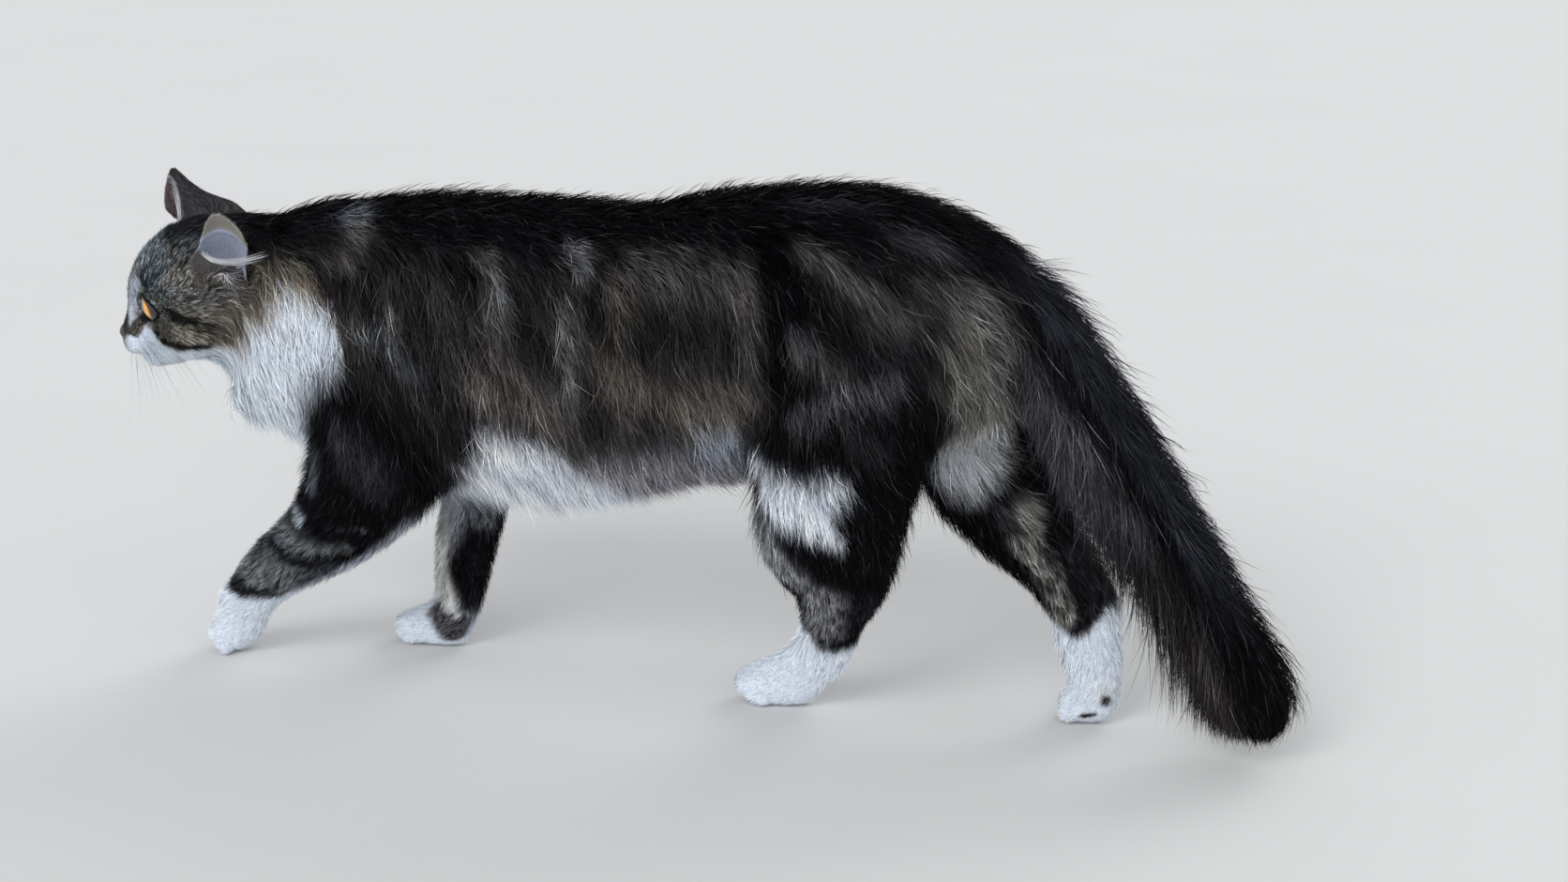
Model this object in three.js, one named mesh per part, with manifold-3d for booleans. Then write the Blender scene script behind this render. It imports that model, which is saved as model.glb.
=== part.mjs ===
// A life-size, long-haired tabby and white cat, walking with its head low and turned a little to its left.
// Millimetres, +Z up. The cat faces -X, so its left side is at -Y. The paws stand on the floor, z = 0, and
// the origin is under the middle of the whole figure. Every solid reaches out to the tips of the coat.
import * as THREE from "three";
import { mergeVertices } from "three/addons/utils/BufferGeometryUtils.js";
import Module from "manifold-3d";

const wasm = await Module();
wasm.setup();

// ---------------------------------------------------------------- driving dimensions

const GAP = 0.35; // clearance between neighbouring solids

const WITHERS = 289; // top of the coat over the shoulders
const RUMP = 305; // top of the coat over the hips
const LEFT = -1; // the cat's left is at -Y
const RIGHT = 1;

// The head has its own frame: it starts at the nose tip, X runs back along the skull, Z up.
const NOSE_TIP = new THREE.Vector3(-410, -32, 196);
const HEAD_PITCH = THREE.MathUtils.degToRad(-18); // nose down
const HEAD_TURN = THREE.MathUtils.degToRad(20); // towards the left
const HEAD_ROLL = THREE.MathUtils.degToRad(9); // left side down
const EYE = { back: 33, side: 20, up: 12, radius: 10.6 };

// Where neck and trunk part, and how the cut leans back towards the withers.
const NECK_CUT = { x: -283, z: 205, lean: THREE.MathUtils.degToRad(14) };

// ---------------------------------------------------------------- making closed shapes

// One section of a body part: its centre, its half width, and its reach above and below the centre. On a part
// that runs downwards, such as a leg, "up" is the reach to the back and "down" the reach to the front.
const section = (x, y, z, side, up, down = up) => ({
  centre: new THREE.Vector3(x, y, z),
  girth: new THREE.Vector3(side, up, down),
});

// A closed tube with round ends through the sections. Sections stay upright: their width runs along Y.
function loft(sections, { rings, sides, ends, grow = 0 }) {
  const path = new THREE.CatmullRomCurve3(sections.map((s) => s.centre));
  const girths = new THREE.CatmullRomCurve3(sections.map((s) => s.girth));
  const capRings = 3;
  const places = []; // [t, shrink, shift along the path]
  for (let k = 1; k <= capRings; k++) {
    const angle = (k / (capRings + 1)) * (Math.PI / 2);
    places.push([0, Math.sin(angle), -(ends[0] + grow) * Math.cos(angle)]);
  }
  for (let i = 0; i <= rings; i++) places.push([i / rings, 1, 0]);
  for (let k = capRings; k >= 1; k--) {
    const angle = (k / (capRings + 1)) * (Math.PI / 2);
    places.push([1, Math.sin(angle), (ends[1] + grow) * Math.cos(angle)]);
  }

  const points = [];
  for (const [t, shrink, shift] of places) {
    const ahead = path.getTangent(t);
    const across = new THREE.Vector3(0, 1, 0).addScaledVector(ahead, -ahead.y).normalize();
    const over = new THREE.Vector3().crossVectors(ahead, across);
    const centre = path.getPoint(t).addScaledVector(ahead, shift);
    const girth = girths.getPoint(t).addScalar(grow).multiplyScalar(shrink);
    for (let j = 0; j < sides; j++) {
      const angle = (j / sides) * 2 * Math.PI;
      const rise = Math.sin(angle) * (Math.sin(angle) > 0 ? girth.y : girth.z);
      const point = centre.clone().addScaledVector(across, girth.x * Math.cos(angle));
      points.push(point.addScaledVector(over, rise));
    }
  }
  const poles = [0, 1].map((t) =>
    path.getPoint(t).addScaledVector(path.getTangent(t), (2 * t - 1) * (ends[t] + grow)),
  );
  return closeRings(points, sides, poles);
}

// Joins rings of points into one closed solid, with a pole at either end.
function closeRings(points, sides, poles) {
  const rows = points.length / sides;
  const first = points.length;
  const faces = [];
  for (let i = 0; i + 1 < rows; i++) {
    for (let j = 0; j < sides; j++) {
      const k = (j + 1) % sides;
      const [a, b, c, d] = [i * sides + j, i * sides + k, (i + 1) * sides + k, (i + 1) * sides + j];
      faces.push(a, b, c, a, c, d);
    }
  }
  for (let j = 0; j < sides; j++) {
    const k = (j + 1) % sides;
    faces.push(first, k, j);
    faces.push(first + 1, (rows - 1) * sides + j, (rows - 1) * sides + k);
  }
  const coordinates = [...points, ...poles].flatMap((p) => p.toArray());
  return new wasm.Manifold(
    new wasm.Mesh({
      numProp: 3,
      vertProperties: new Float32Array(coordinates),
      triVerts: new Uint32Array(faces),
    }),
  );
}

// A three.js geometry, moved by a matrix, as a solid.
function solidOf(geometry, matrix = new THREE.Matrix4()) {
  const bare = geometry.clone().applyMatrix4(matrix);
  bare.deleteAttribute("normal");
  bare.deleteAttribute("uv");
  const merged = mergeVertices(bare, 1e-4);
  return new wasm.Manifold(
    new wasm.Mesh({
      numProp: 3,
      vertProperties: merged.attributes.position.array,
      triVerts: new Uint32Array(merged.index.array),
    }),
  );
}

// An ellipsoid with its poles along Z, turned about Y by lean.
function ellipsoid(x, y, z, reachX, reachY, reachZ, { grow = 0, lean = 0, round = 10 } = {}) {
  const matrix = new THREE.Matrix4().makeTranslation(x, y, z);
  matrix.multiply(new THREE.Matrix4().makeRotationY(lean));
  matrix.multiply(new THREE.Matrix4().makeScale(reachX + grow, reachY + grow, reachZ + grow));
  return solidOf(new THREE.SphereGeometry(1, round, Math.round(round * 0.6)), matrix);
}

const union = (solids) => solids.reduce((whole, s) => whole.add(s));
const biggest = (solid) => solid.decompose().sort((a, b) => b.volume() - a.volume())[0];

// A slab that fills everything on one side of a plane through (x, 0, z) that leans back by an angle.
function halfSpace(x, z, lean, ahead) {
  const SIZE = 900;
  const matrix = new THREE.Matrix4().makeTranslation(x, 0, z);
  matrix.multiply(new THREE.Matrix4().makeRotationY(lean));
  matrix.multiply(new THREE.Matrix4().makeTranslation((ahead ? -1 : 1) * (SIZE / 2 + GAP / 2), 0, 0));
  return solidOf(new THREE.BoxGeometry(SIZE, SIZE, SIZE), matrix);
}

// ---------------------------------------------------------------- neck and trunk

// One shape runs from inside the head, through the ruff, to the rump. Its back follows the two heights above.
function torso(grow = 0) {
  const back = (x, top, bottom, side) => {
    const middle = bottom + (top - bottom) * 0.52;
    return section(x, 0, middle, side, top - middle, middle - bottom);
  };
  return loft(
    [
      section(-366, -10, 216, 26, 38, 40),
      section(-344, -6, 216, 38, 54, 55),
      back(-318, WITHERS - 18, 142, 50),
      back(-286, WITHERS - 10, 128, 57),
      back(-250, WITHERS - 5, 110, 62),
      back(-205, WITHERS, 103, 66),
      back(-160, WITHERS, 103, 70),
      back(-115, WITHERS, 111, 73),
      back(-70, WITHERS, 123, 73),
      back(-25, RUMP - 6, 133, 70),
      back(20, RUMP, 140, 68),
      back(60, RUMP, 148, 65),
      back(98, RUMP - 10, 160, 57),
      back(126, RUMP - 24, 178, 42),
    ],
    { rings: 26, sides: 18, ends: [14, 20], grow },
  );
}

// ---------------------------------------------------------------- legs and paws

const LEGS = {
  front_left: {
    sections: [
      section(-225, -34, 180, 30, 46, 46),
      section(-238, -41, 132, 28, 45, 40),
      section(-264, -40, 94, 24, 35, 33),
      section(-293, -35, 67, 19, 24, 24),
      section(-319, -30, 45, 16.5, 18, 19),
      section(-333, -28, 29, 16, 17, 17),
    ],
    paw: { x: -322, y: -26, z: 20, turn: 4, droop: 20, length: 37, width: 34 },
  },
  front_right: {
    sections: [
      section(-222, 34, 185, 29, 44, 44),
      section(-206, 37, 132, 26, 32, 32),
      section(-206, 32, 95, 20.5, 22, 22),
      section(-211, 28, 65, 17.5, 18, 18),
      section(-215, 25, 38, 15.5, 16, 16.5),
      section(-217, 24, 24, 14.5, 14.5, 15),
    ],
    paw: { x: -216, y: 24, z: 14, turn: -4, droop: 4, length: 44, width: 35 },
  },
  hind_left: {
    sections: [
      section(66, -30, 225, 32, 54, 54),
      section(50, -38, 178, 34, 52, 56),
      section(39, -38, 132, 31, 46, 47),
      section(38, -30, 102, 25, 41, 42),
      section(41, -20, 79, 19, 29, 31),
      section(38, -11, 57, 15.5, 20, 22),
      section(31, -5, 38, 14.5, 17, 20),
      section(26, -3, 26, 14, 17, 18),
    ],
    paw: { x: 27, y: -2, z: 14, turn: 3, droop: 4, length: 50, width: 33 },
  },
  hind_right: {
    sections: [
      section(78, 30, 225, 32, 52, 52),
      section(92, 37, 178, 33, 50, 50),
      section(108, 38, 138, 29, 42, 42),
      section(132, 35, 110, 24, 32, 32),
      section(155, 31, 87, 18.5, 24, 24),
      section(169, 28, 64, 16, 19, 22),
      section(173, 26, 42, 15, 17, 20),
      section(174, 26, 26, 14, 15, 18),
    ],
    paw: { x: 182, y: 26, z: 14.5, turn: -2, droop: 6, length: 35, width: 33 },
  },
};

function legShape(leg, grow = 0) {
  return loft(leg.sections, { rings: 10, sides: 12, ends: [20, 4], grow });
}

// A paw in its own frame: the heel at the origin, the toes towards -X, four toes side by side on a palm.
function pawShape({ x, y, z, turn, droop, length, width }) {
  const palm = ellipsoid(-length * 0.34, 0, 0, length * 0.42, width * 0.46, 16.5);
  const heel = ellipsoid(-length * 0.06, 0, 0, length * 0.24, width * 0.38, 16, { round: 8 });
  const toes = [-1.5, -0.5, 0.5, 1.5].map((step) => {
    const reach = length * (Math.abs(step) < 1 ? 0.78 : 0.68);
    return ellipsoid(-reach, step * width * 0.25, -2, length * 0.25, width * 0.165, 13, { round: 7 });
  });
  const place = new THREE.Matrix4().makeTranslation(x, y, z);
  place.multiply(new THREE.Matrix4().makeRotationZ(THREE.MathUtils.degToRad(turn)));
  place.multiply(new THREE.Matrix4().makeRotationY(THREE.MathUtils.degToRad(-droop)));
  return union([palm, heel, ...toes]).transform(place.elements);
}

// ---------------------------------------------------------------- tail

function tailShape(grow = 0) {
  return loft(
    [
      section(108, 0, 262, 18, 18, 18),
      section(134, 0, 244, 22, 26, 27),
      section(157, 1, 214, 24, 27, 36),
      section(180, 2, 179, 24, 27, 38),
      section(204, 2, 143, 23, 27, 32),
      section(227, 0, 107, 22, 27, 26),
      section(249, -2, 74, 23, 27, 26),
      section(263, -4, 47, 22, 29, 28),
      section(267, -5, 26, 15, 20, 20),
    ],
    { rings: 14, sides: 14, ends: [10, 14], grow },
  );
}

// ---------------------------------------------------------------- head, in its own frame

function skullShape(grow = 0) {
  const skull = loft(
    [
      section(3, 0, -6, 8, 8, 8),
      section(9, 0, -5.5, 13, 15, 17),
      section(16, 0, -5, 17, 23, 24),
      section(24, 0, -4, 23, 35, 28),
      section(35, 0, -3, 31, 45, 30),
      section(49, 0, -2, 39, 52, 32),
      section(64, 0, -1, 44, 54, 33),
      section(81, 0, 1, 44, 52, 34),
      section(97, 0, 4, 36, 43, 28),
    ],
    { rings: 14, sides: 16, ends: [4, 14], grow },
  );
  const pairs = [LEFT, RIGHT].flatMap((side) => [
    ellipsoid(11, side * 8.5, -9, 11, 9, 9, { grow }), // whisker pad
    ellipsoid(60, side * 30, -8, 27, 17, 24, { grow, round: 10 }), // cheek ruff
    ellipsoid(36, side * 17, 23, 13, 12, 9, { grow, lean: -0.6 }), // brow
  ]);
  const chin = ellipsoid(17, 0, -22, 12, 11, 9, { grow });
  return union([skull, chin, ...pairs]);
}

function eyeShape(side, grow = 0) {
  const { back, up, radius } = EYE;
  return ellipsoid(back, side * EYE.side, up, radius, radius, radius, { grow, round: 12 });
}

function nosePadShape(grow = 0) {
  return ellipsoid(5.5, 0, -2.5, 6.5, 8.5, 7, { grow, lean: 0.3, round: 10 });
}

// An ear is a thin cup from its foot, inside the head, to its rounded tip. In its own frame it stands on the
// origin, its back towards +X and its opening towards -X. Each row is an arc, open at the front.
function earShape({ foot, tip, facing }) {
  const HALF_WIDTH = 20;
  const TIP_RADIUS = 2;
  const THICK = 3;
  const DEPTH = 12; // how far the bowl's back lies behind the foot, before it comes forward to the tip
  const rows = 8;
  const columns = 9;
  const height = tip.distanceTo(foot);
  const face = (inset) => {
    const points = [];
    for (let i = 0; i <= rows; i++) {
      const h = i / rows;
      const wrap = THREE.MathUtils.lerp(1.5, 0.7, h); // half the angle that the arc goes round
      const taper = Math.sqrt(1 - Math.pow(h, 1.6));
      const swell = 0.72 + 0.6 * h - 0.3 * h * h; // widest a third of the way up
      const radius = (HALF_WIDTH * taper * swell + TIP_RADIUS) / Math.sin(wrap);
      const back = DEPTH * (1 - h) - TIP_RADIUS * h;
      for (let j = 0; j <= columns; j++) {
        const angle = (j / columns - 0.5) * 2 * wrap;
        const x = radius * (Math.cos(angle) - 1) + back - inset;
        points.push(new THREE.Vector3(x, (radius - inset * 0.7) * Math.sin(angle), h * height));
      }
    }
    return points;
  };
  // Outer and inner faces of each row make one ring, so the whole ear is a stack of C-shaped rings.
  const outer = face(0);
  const inner = face(THICK);
  const across = columns + 1;
  const rings = [];
  for (let i = 0; i <= rows; i++) {
    rings.push(...outer.slice(i * across, (i + 1) * across));
    rings.push(...inner.slice(i * across, (i + 1) * across).reverse());
  }
  const up = tip.clone().sub(foot).normalize();
  const side = new THREE.Vector3().crossVectors(facing, up).normalize();
  const place = new THREE.Matrix4().makeBasis(new THREE.Vector3().crossVectors(side, up), side, up);
  return closeStack(rings, 2 * across).transform(place.setPosition(foot).elements);
}

// The room that an ear's bowl keeps clear in the head and the neck.
function earHollow({ foot, tip, facing }) {
  const middle = foot.clone().lerp(tip, 0.62).addScaledVector(facing, 9);
  return ellipsoid(middle.x, middle.y, middle.z, 17, 15, 25);
}

// Closes a stack of C-shaped rings with a strip of faces across the first and the last one.
function closeStack(points, sides) {
  const rows = points.length / sides;
  const faces = [];
  for (let i = 0; i + 1 < rows; i++) {
    for (let j = 0; j < sides; j++) {
      const k = (j + 1) % sides;
      const [a, b, c, d] = [i * sides + j, i * sides + k, (i + 1) * sides + k, (i + 1) * sides + j];
      faces.push(a, b, c, a, c, d);
    }
  }
  for (const row of [0, rows - 1]) {
    for (let j = 0; j + 1 < sides / 2; j++) {
      const [a, b] = [row * sides + j, row * sides + j + 1];
      const [c, d] = [row * sides + sides - 2 - j, row * sides + sides - 1 - j];
      faces.push(...(row === 0 ? [a, c, b, a, d, c] : [a, b, c, a, c, d]));
    }
  }
  return new wasm.Manifold(
    new wasm.Mesh({
      numProp: 3,
      vertProperties: new Float32Array(points.flatMap((p) => p.toArray())),
      triVerts: new Uint32Array(faces),
    }),
  );
}

// The left ear is turned out and back, the right one pricked forwards.
const EARS = {
  left: {
    foot: new THREE.Vector3(84, -32, 14),
    tip: new THREE.Vector3(98, -54, 64),
    facing: new THREE.Vector3(-0.1, -0.95, 0.15),
  },
  right: {
    foot: new THREE.Vector3(74, 24, 28),
    tip: new THREE.Vector3(57, 50, 72),
    facing: new THREE.Vector3(-0.85, 0.5, 0.1),
  },
};

// ---------------------------------------------------------------- materials

const fur = (colour) => new THREE.MeshStandardMaterial({ color: colour, roughness: 0.95, metalness: 0 });
const MATERIALS = {
  tabby: fur(0x3b352f),
  white: fur(0xe6e4e0),
  ear: fur(0x6c625c),
  nose: new THREE.MeshStandardMaterial({ color: 0x6e4a42, roughness: 0.55, metalness: 0 }),
  eye: new THREE.MeshStandardMaterial({ color: 0xc07a18, roughness: 0.08, metalness: 0 }),
};

function node(name, solid, material) {
  const made = solid.getMesh();
  const geometry = new THREE.BufferGeometry();
  geometry.setAttribute("position", new THREE.BufferAttribute(made.vertProperties.slice(), 3));
  geometry.setIndex(new THREE.BufferAttribute(made.triVerts.slice(), 1));
  geometry.computeVertexNormals();
  const mesh = new THREE.Mesh(geometry, material);
  mesh.name = name;
  return mesh;
}

// ---------------------------------------------------------------- the cat

const cat = new THREE.Group();
const head = new THREE.Group();
head.position.copy(NOSE_TIP);
head.rotation.set(HEAD_ROLL, HEAD_PITCH, HEAD_TURN, "ZYX");
head.updateMatrix();
cat.add(head);

const skull = skullShape();
const skullRoom = skullShape(GAP);
const hollows = union(Object.values(EARS).map((ear) => earHollow(ear)));
const socketed = union([eyeShape(LEFT, GAP), eyeShape(RIGHT, GAP), nosePadShape(GAP)]);
head.add(node("head", biggest(skull.subtract(socketed).subtract(hollows)), MATERIALS.tabby));
head.add(node("eye_left", eyeShape(LEFT), MATERIALS.eye));
head.add(node("eye_right", eyeShape(RIGHT), MATERIALS.eye));
head.add(node("nose_pad", nosePadShape(), MATERIALS.nose));
for (const [side, ear] of Object.entries(EARS)) {
  head.add(node(`ear_${side}`, biggest(earShape(ear).subtract(skullRoom)), MATERIALS.ear));
}

const whole = torso();
const neckSide = halfSpace(NECK_CUT.x, NECK_CUT.z, NECK_CUT.lean, true);
const trunkSide = halfSpace(NECK_CUT.x, NECK_CUT.z, NECK_CUT.lean, false);
const earRoom = union(Object.values(EARS).map((ear) => earShape(ear)));
const headRoom = union([skullRoom, earRoom, hollows]).transform(head.matrix.elements);
cat.add(node("neck", biggest(whole.intersect(neckSide).subtract(headRoom)), MATERIALS.tabby));
cat.add(node("trunk", biggest(whole.intersect(trunkSide)), MATERIALS.tabby));

const trunkRoom = torso(GAP);
const floor = solidOf(new THREE.BoxGeometry(1200, 600, 200), new THREE.Matrix4().makeTranslation(0, 0, -100));
let taken = trunkRoom;
for (const [name, leg] of Object.entries(LEGS)) {
  const shape = legShape(leg);
  cat.add(node(`leg_${name}`, biggest(shape.subtract(taken).subtract(floor)), MATERIALS.tabby));
  const paw = pawShape(leg.paw).subtract(legShape(leg, GAP));
  cat.add(node(`paw_${name}`, biggest(paw.subtract(floor)), MATERIALS.white));
  taken = taken.add(legShape(leg, GAP));
}
cat.add(node("tail", biggest(tailShape().subtract(taken)), MATERIALS.tabby));

// The origin is on the floor, under the middle of the figure's box.
cat.updateMatrixWorld(true);
const box = new THREE.Box3().setFromObject(cat, true);
cat.position.set(-(box.min.x + box.max.x) / 2, -(box.min.y + box.max.y) / 2, -box.min.z);

export default cat;
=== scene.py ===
import math

import bmesh
import bpy
import numpy as np
from mathutils import Matrix, Vector
from mathutils.bvhtree import BVHTree
from mathutils.kdtree import KDTree


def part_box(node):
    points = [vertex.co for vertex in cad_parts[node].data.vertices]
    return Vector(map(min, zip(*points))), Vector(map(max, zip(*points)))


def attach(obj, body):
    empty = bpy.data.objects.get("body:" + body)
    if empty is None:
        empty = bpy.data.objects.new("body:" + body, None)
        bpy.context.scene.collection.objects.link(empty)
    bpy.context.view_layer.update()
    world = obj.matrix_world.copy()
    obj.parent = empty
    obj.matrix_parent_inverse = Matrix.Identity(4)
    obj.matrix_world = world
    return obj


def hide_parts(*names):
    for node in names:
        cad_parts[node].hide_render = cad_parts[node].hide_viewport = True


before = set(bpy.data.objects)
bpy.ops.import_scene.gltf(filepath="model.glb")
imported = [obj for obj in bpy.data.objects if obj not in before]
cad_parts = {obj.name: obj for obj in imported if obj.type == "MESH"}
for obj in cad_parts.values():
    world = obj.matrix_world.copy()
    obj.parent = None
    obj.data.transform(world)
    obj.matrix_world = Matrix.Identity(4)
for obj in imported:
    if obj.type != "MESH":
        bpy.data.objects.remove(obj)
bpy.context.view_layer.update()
MM = 1000.0
rng = np.random.default_rng(11)

LEGS = ["leg_front_left", "leg_front_right", "leg_hind_left", "leg_hind_right"]
PAWS = ["paw_front_left", "paw_front_right", "paw_hind_left", "paw_hind_right"]
FLESH = ["head", "neck", "trunk", *LEGS, *PAWS, "tail"]


# ---------------------------------------------------------------- small tools

def unit(v):
    return v / np.maximum(np.linalg.norm(v, axis=-1, keepdims=True), 1e-9)


def ramp(low, high, x):
    t = np.clip((x - low) / (high - low), 0.0, 1.0)
    return t * t * (3.0 - 2.0 * t)


def mix(a, b, t):
    t = np.asarray(t)
    if np.ndim(a) > np.ndim(t) or np.ndim(b) > np.ndim(t):
        t = t[..., None]
    return a * (1.0 - t) + b * t


def lattice_value(cell, seed):
    h = cell[..., 0] * 73856093 ^ cell[..., 1] * 19349663 ^ cell[..., 2] * 83492791 ^ seed * 2654435761
    h = (h ^ (h >> 13)) * 1274126177
    h = h ^ (h >> 16)
    return (h & 0xFFFF) / 32767.5 - 1.0


def noise(p, size, seed):
    """Smooth random values from -1 to 1 at points p, with features of the given size."""
    q = p / size
    base = np.floor(q).astype(np.int64)
    f = q - base
    f = f * f * (3.0 - 2.0 * f)
    total = 0.0
    for dx in (0, 1):
        for dy in (0, 1):
            for dz in (0, 1):
                weight = (
                    (f[..., 0] if dx else 1.0 - f[..., 0])
                    * (f[..., 1] if dy else 1.0 - f[..., 1])
                    * (f[..., 2] if dz else 1.0 - f[..., 2])
                )
                total = total + weight * lattice_value(base + np.array([dx, dy, dz]), seed)
    return total


def vectors(x, y, z):
    """Vectors from their three parts, each a number for every point or one for all."""
    return np.stack(np.broadcast_arrays(x, y, z), axis=-1)


def mid(name):
    low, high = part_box(name)
    return (np.array(low) + np.array(high)) * 0.5 * MM


# ---------------------------------------------------------------- the head's own frame

# It starts at the nose tip. X runs back along the skull, Y to the cat's right, Z up.
EYE_BACK, EYE_SIDE, EYE_UP = 33.0, 20.0, 12.0
EYE_RADIUS = 9.9
NOSE_MIDDLE = np.array([6.0, 0.0, -2.9])
_eyes_mid = (mid("eye_left") + mid("eye_right")) / 2
_across = unit(mid("eye_right") - mid("eye_left"))
_rise = unit((_eyes_mid - mid("nose_pad")) - ((_eyes_mid - mid("nose_pad")) @ _across) * _across)
_over = np.cross(_rise, _across)
_angle = math.atan2(EYE_UP + 2.5, EYE_BACK - 5.5)
HEAD_X = math.cos(_angle) * _rise - math.sin(_angle) * _over
HEAD_Y = _across
HEAD_Z = math.sin(_angle) * _rise + math.cos(_angle) * _over
HEAD_AXES = np.stack([HEAD_X, HEAD_Y, HEAD_Z])
HEAD_ORIGIN = _eyes_mid - EYE_BACK * HEAD_X - EYE_UP * HEAD_Z
HEAD_DOWN = HEAD_AXES @ np.array([0, 0, -1.0])


def to_head(p):
    return (p - HEAD_ORIGIN) @ HEAD_AXES.T


def from_head(h):
    return np.asarray(h, float) @ HEAD_AXES + HEAD_ORIGIN


def head_vector(h):
    return np.asarray(h, float) @ HEAD_AXES


# ---------------------------------------------------------------- meshes as arrays

def read_mesh(me):
    points = np.zeros(len(me.vertices) * 3, np.float32)
    me.vertices.foreach_get("co", points)
    me.calc_loop_triangles()
    triangles = np.zeros(len(me.loop_triangles) * 3, np.int32)
    me.loop_triangles.foreach_get("vertices", triangles)
    return points.reshape(-1, 3).astype(float) * MM, triangles.reshape(-1, 3)


def mesh_of(name, points, faces):
    """A mesh from millimetre points and faces that all have the same number of corners."""
    me = bpy.data.meshes.new(name)
    faces = np.asarray(faces, np.int32)
    me.vertices.add(len(points))
    me.vertices.foreach_set("co", (np.asarray(points) / MM).astype(np.float32).ravel())
    me.loops.add(faces.size)
    me.loops.foreach_set("vertex_index", faces.ravel())
    me.polygons.add(len(faces))
    me.polygons.foreach_set("loop_start", np.arange(0, faces.size, faces.shape[1], dtype=np.int32))
    me.update(calc_edges=True)
    return me


def mesh_from(bm, name):
    me = bpy.data.meshes.new(name)
    bm.to_mesh(me)
    bm.free()
    return me


def add_object(name, me, material=None):
    if material is not None:
        me.materials.append(material)
    me.polygons.foreach_set("use_smooth", np.full(len(me.polygons), True))
    made = bpy.data.objects.new(name, me)
    bpy.context.scene.collection.objects.link(made)
    return made


def neighbours(triangles):
    pairs = np.concatenate([triangles[:, [0, 1]], triangles[:, [1, 2]], triangles[:, [2, 0]]])
    return np.unique(np.sort(pairs, axis=1), axis=0)


def averaged(values, pairs, count):
    """Each point's mean over its neighbours."""
    total = np.zeros_like(values)
    for k in range(values.shape[1]):
        total[:, k] = np.bincount(pairs[:, 0], values[pairs[:, 1], k], count)
        total[:, k] += np.bincount(pairs[:, 1], values[pairs[:, 0], k], count)
    ring = np.bincount(pairs.ravel(), minlength=count)
    return total / np.maximum(ring, 1)[:, None]


def relaxed(values, pairs, rounds, amount):
    flat = values.ndim == 1
    values = values[:, None] if flat else values
    for _ in range(rounds):
        share = amount[:, None] if np.ndim(amount) else amount
        values = values + (averaged(values, pairs, len(values)) - values) * share
    return values[:, 0] if flat else values


def point_normals(points, triangles):
    a, b, c = points[triangles[:, 0]], points[triangles[:, 1]], points[triangles[:, 2]]
    face = np.cross(b - a, c - a)
    total = np.zeros_like(points)
    for corner in range(3):
        for k in range(3):
            total[:, k] += np.bincount(triangles[:, corner], face[:, k], len(points))
    return unit(total)


def applied(body):
    """The mesh of an object as its modifiers leave it. The object itself is removed."""
    made = bpy.data.meshes.new_from_object(body.evaluated_get(bpy.context.evaluated_depsgraph_get()))
    bpy.data.objects.remove(body)
    return read_mesh(made)


def remeshed(parts, voxel):
    """One closed mesh around all parts, which are (points, faces) pairs."""
    bm = bmesh.new()
    for points, faces in parts:
        bm.from_mesh(mesh_of("part", points, faces))
    body = bpy.data.objects.new("joined", mesh_from(bm, "joined"))
    bpy.context.scene.collection.objects.link(body)
    change = body.modifiers.new("remesh", "REMESH")
    change.mode = "VOXEL"
    change.voxel_size = voxel / MM
    return applied(body)


def largest_part(points, triangles):
    """Drops all but the largest connected part."""
    group = np.arange(len(points))
    pairs = neighbours(triangles)
    while True:
        low = np.minimum(group[pairs[:, 0]], group[pairs[:, 1]])
        fresh = group.copy()
        np.minimum.at(fresh, pairs[:, 0], low)
        np.minimum.at(fresh, pairs[:, 1], low)
        fresh = fresh[fresh]
        fresh = fresh[fresh]
        if np.array_equal(fresh, group):
            break
        group = fresh
    names, sizes = np.unique(group, return_counts=True)
    kept = group == names[np.argmax(sizes)]
    place = np.cumsum(kept) - 1
    triangles = triangles[kept[triangles].all(axis=1)]
    return points[kept], place[triangles]


def distances(p, shape, faces, limit):
    """How far each point is from a shape, infinite beyond the limit."""
    tree = BVHTree.FromPolygons(shape.tolist(), faces.tolist())
    low, high = shape.min(0) - limit, shape.max(0) + limit
    gap = np.full(len(p), np.inf)
    for i in np.nonzero(((p > low) & (p < high)).all(axis=1))[0]:
        found = tree.find_nearest(p[i], limit)
        if found[0] is not None:
            gap[i] = found[3]
    return gap


def finder_of(p):
    """Finds the nearest of the points p."""
    tree = KDTree(len(p))
    for i, q in enumerate(p):
        tree.insert(q, i)
    tree.balance()
    return tree


# ---------------------------------------------------------------- eye openings

EYES = {side: np.array([EYE_BACK + 3.4, side * EYE_SIDE, EYE_UP + 1.2]) for side in (-1, 1)}
LID_OUT, LID_IN = math.radians(58), math.radians(60)
LID_UP, LID_DOWN = math.radians(38), math.radians(36)
EYE_TURN = math.radians(24)
SLANT = math.radians(15)
RIM_STEPS = 60
LID_RISE = 0.9


def eye_axes(side):
    """The eye's own frame: out through the pupil, towards the outer corner, and up."""
    out = unit(np.array([-math.cos(EYE_TURN), side * math.sin(EYE_TURN), 0.06]))
    corner = unit(np.cross(out, [0, 0, 1]) * -side)
    up = np.cross(out, corner) * side
    up = up if up[2] > 0 else -up
    tilted = math.cos(SLANT) * corner + math.sin(SLANT) * up
    over = np.cross(out, tilted)
    return np.stack([out, tilted, unit(over * (1 if over[2] > 0 else -1))])


def lid_curves(s):
    upper = LID_UP * np.clip(1.0 - np.abs(s) ** 2.2, 0, 1) ** 0.75
    lower = -LID_DOWN * np.clip(1.0 - np.abs(s) ** 2.0, 0, 1) ** 0.7
    return upper, lower


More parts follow.
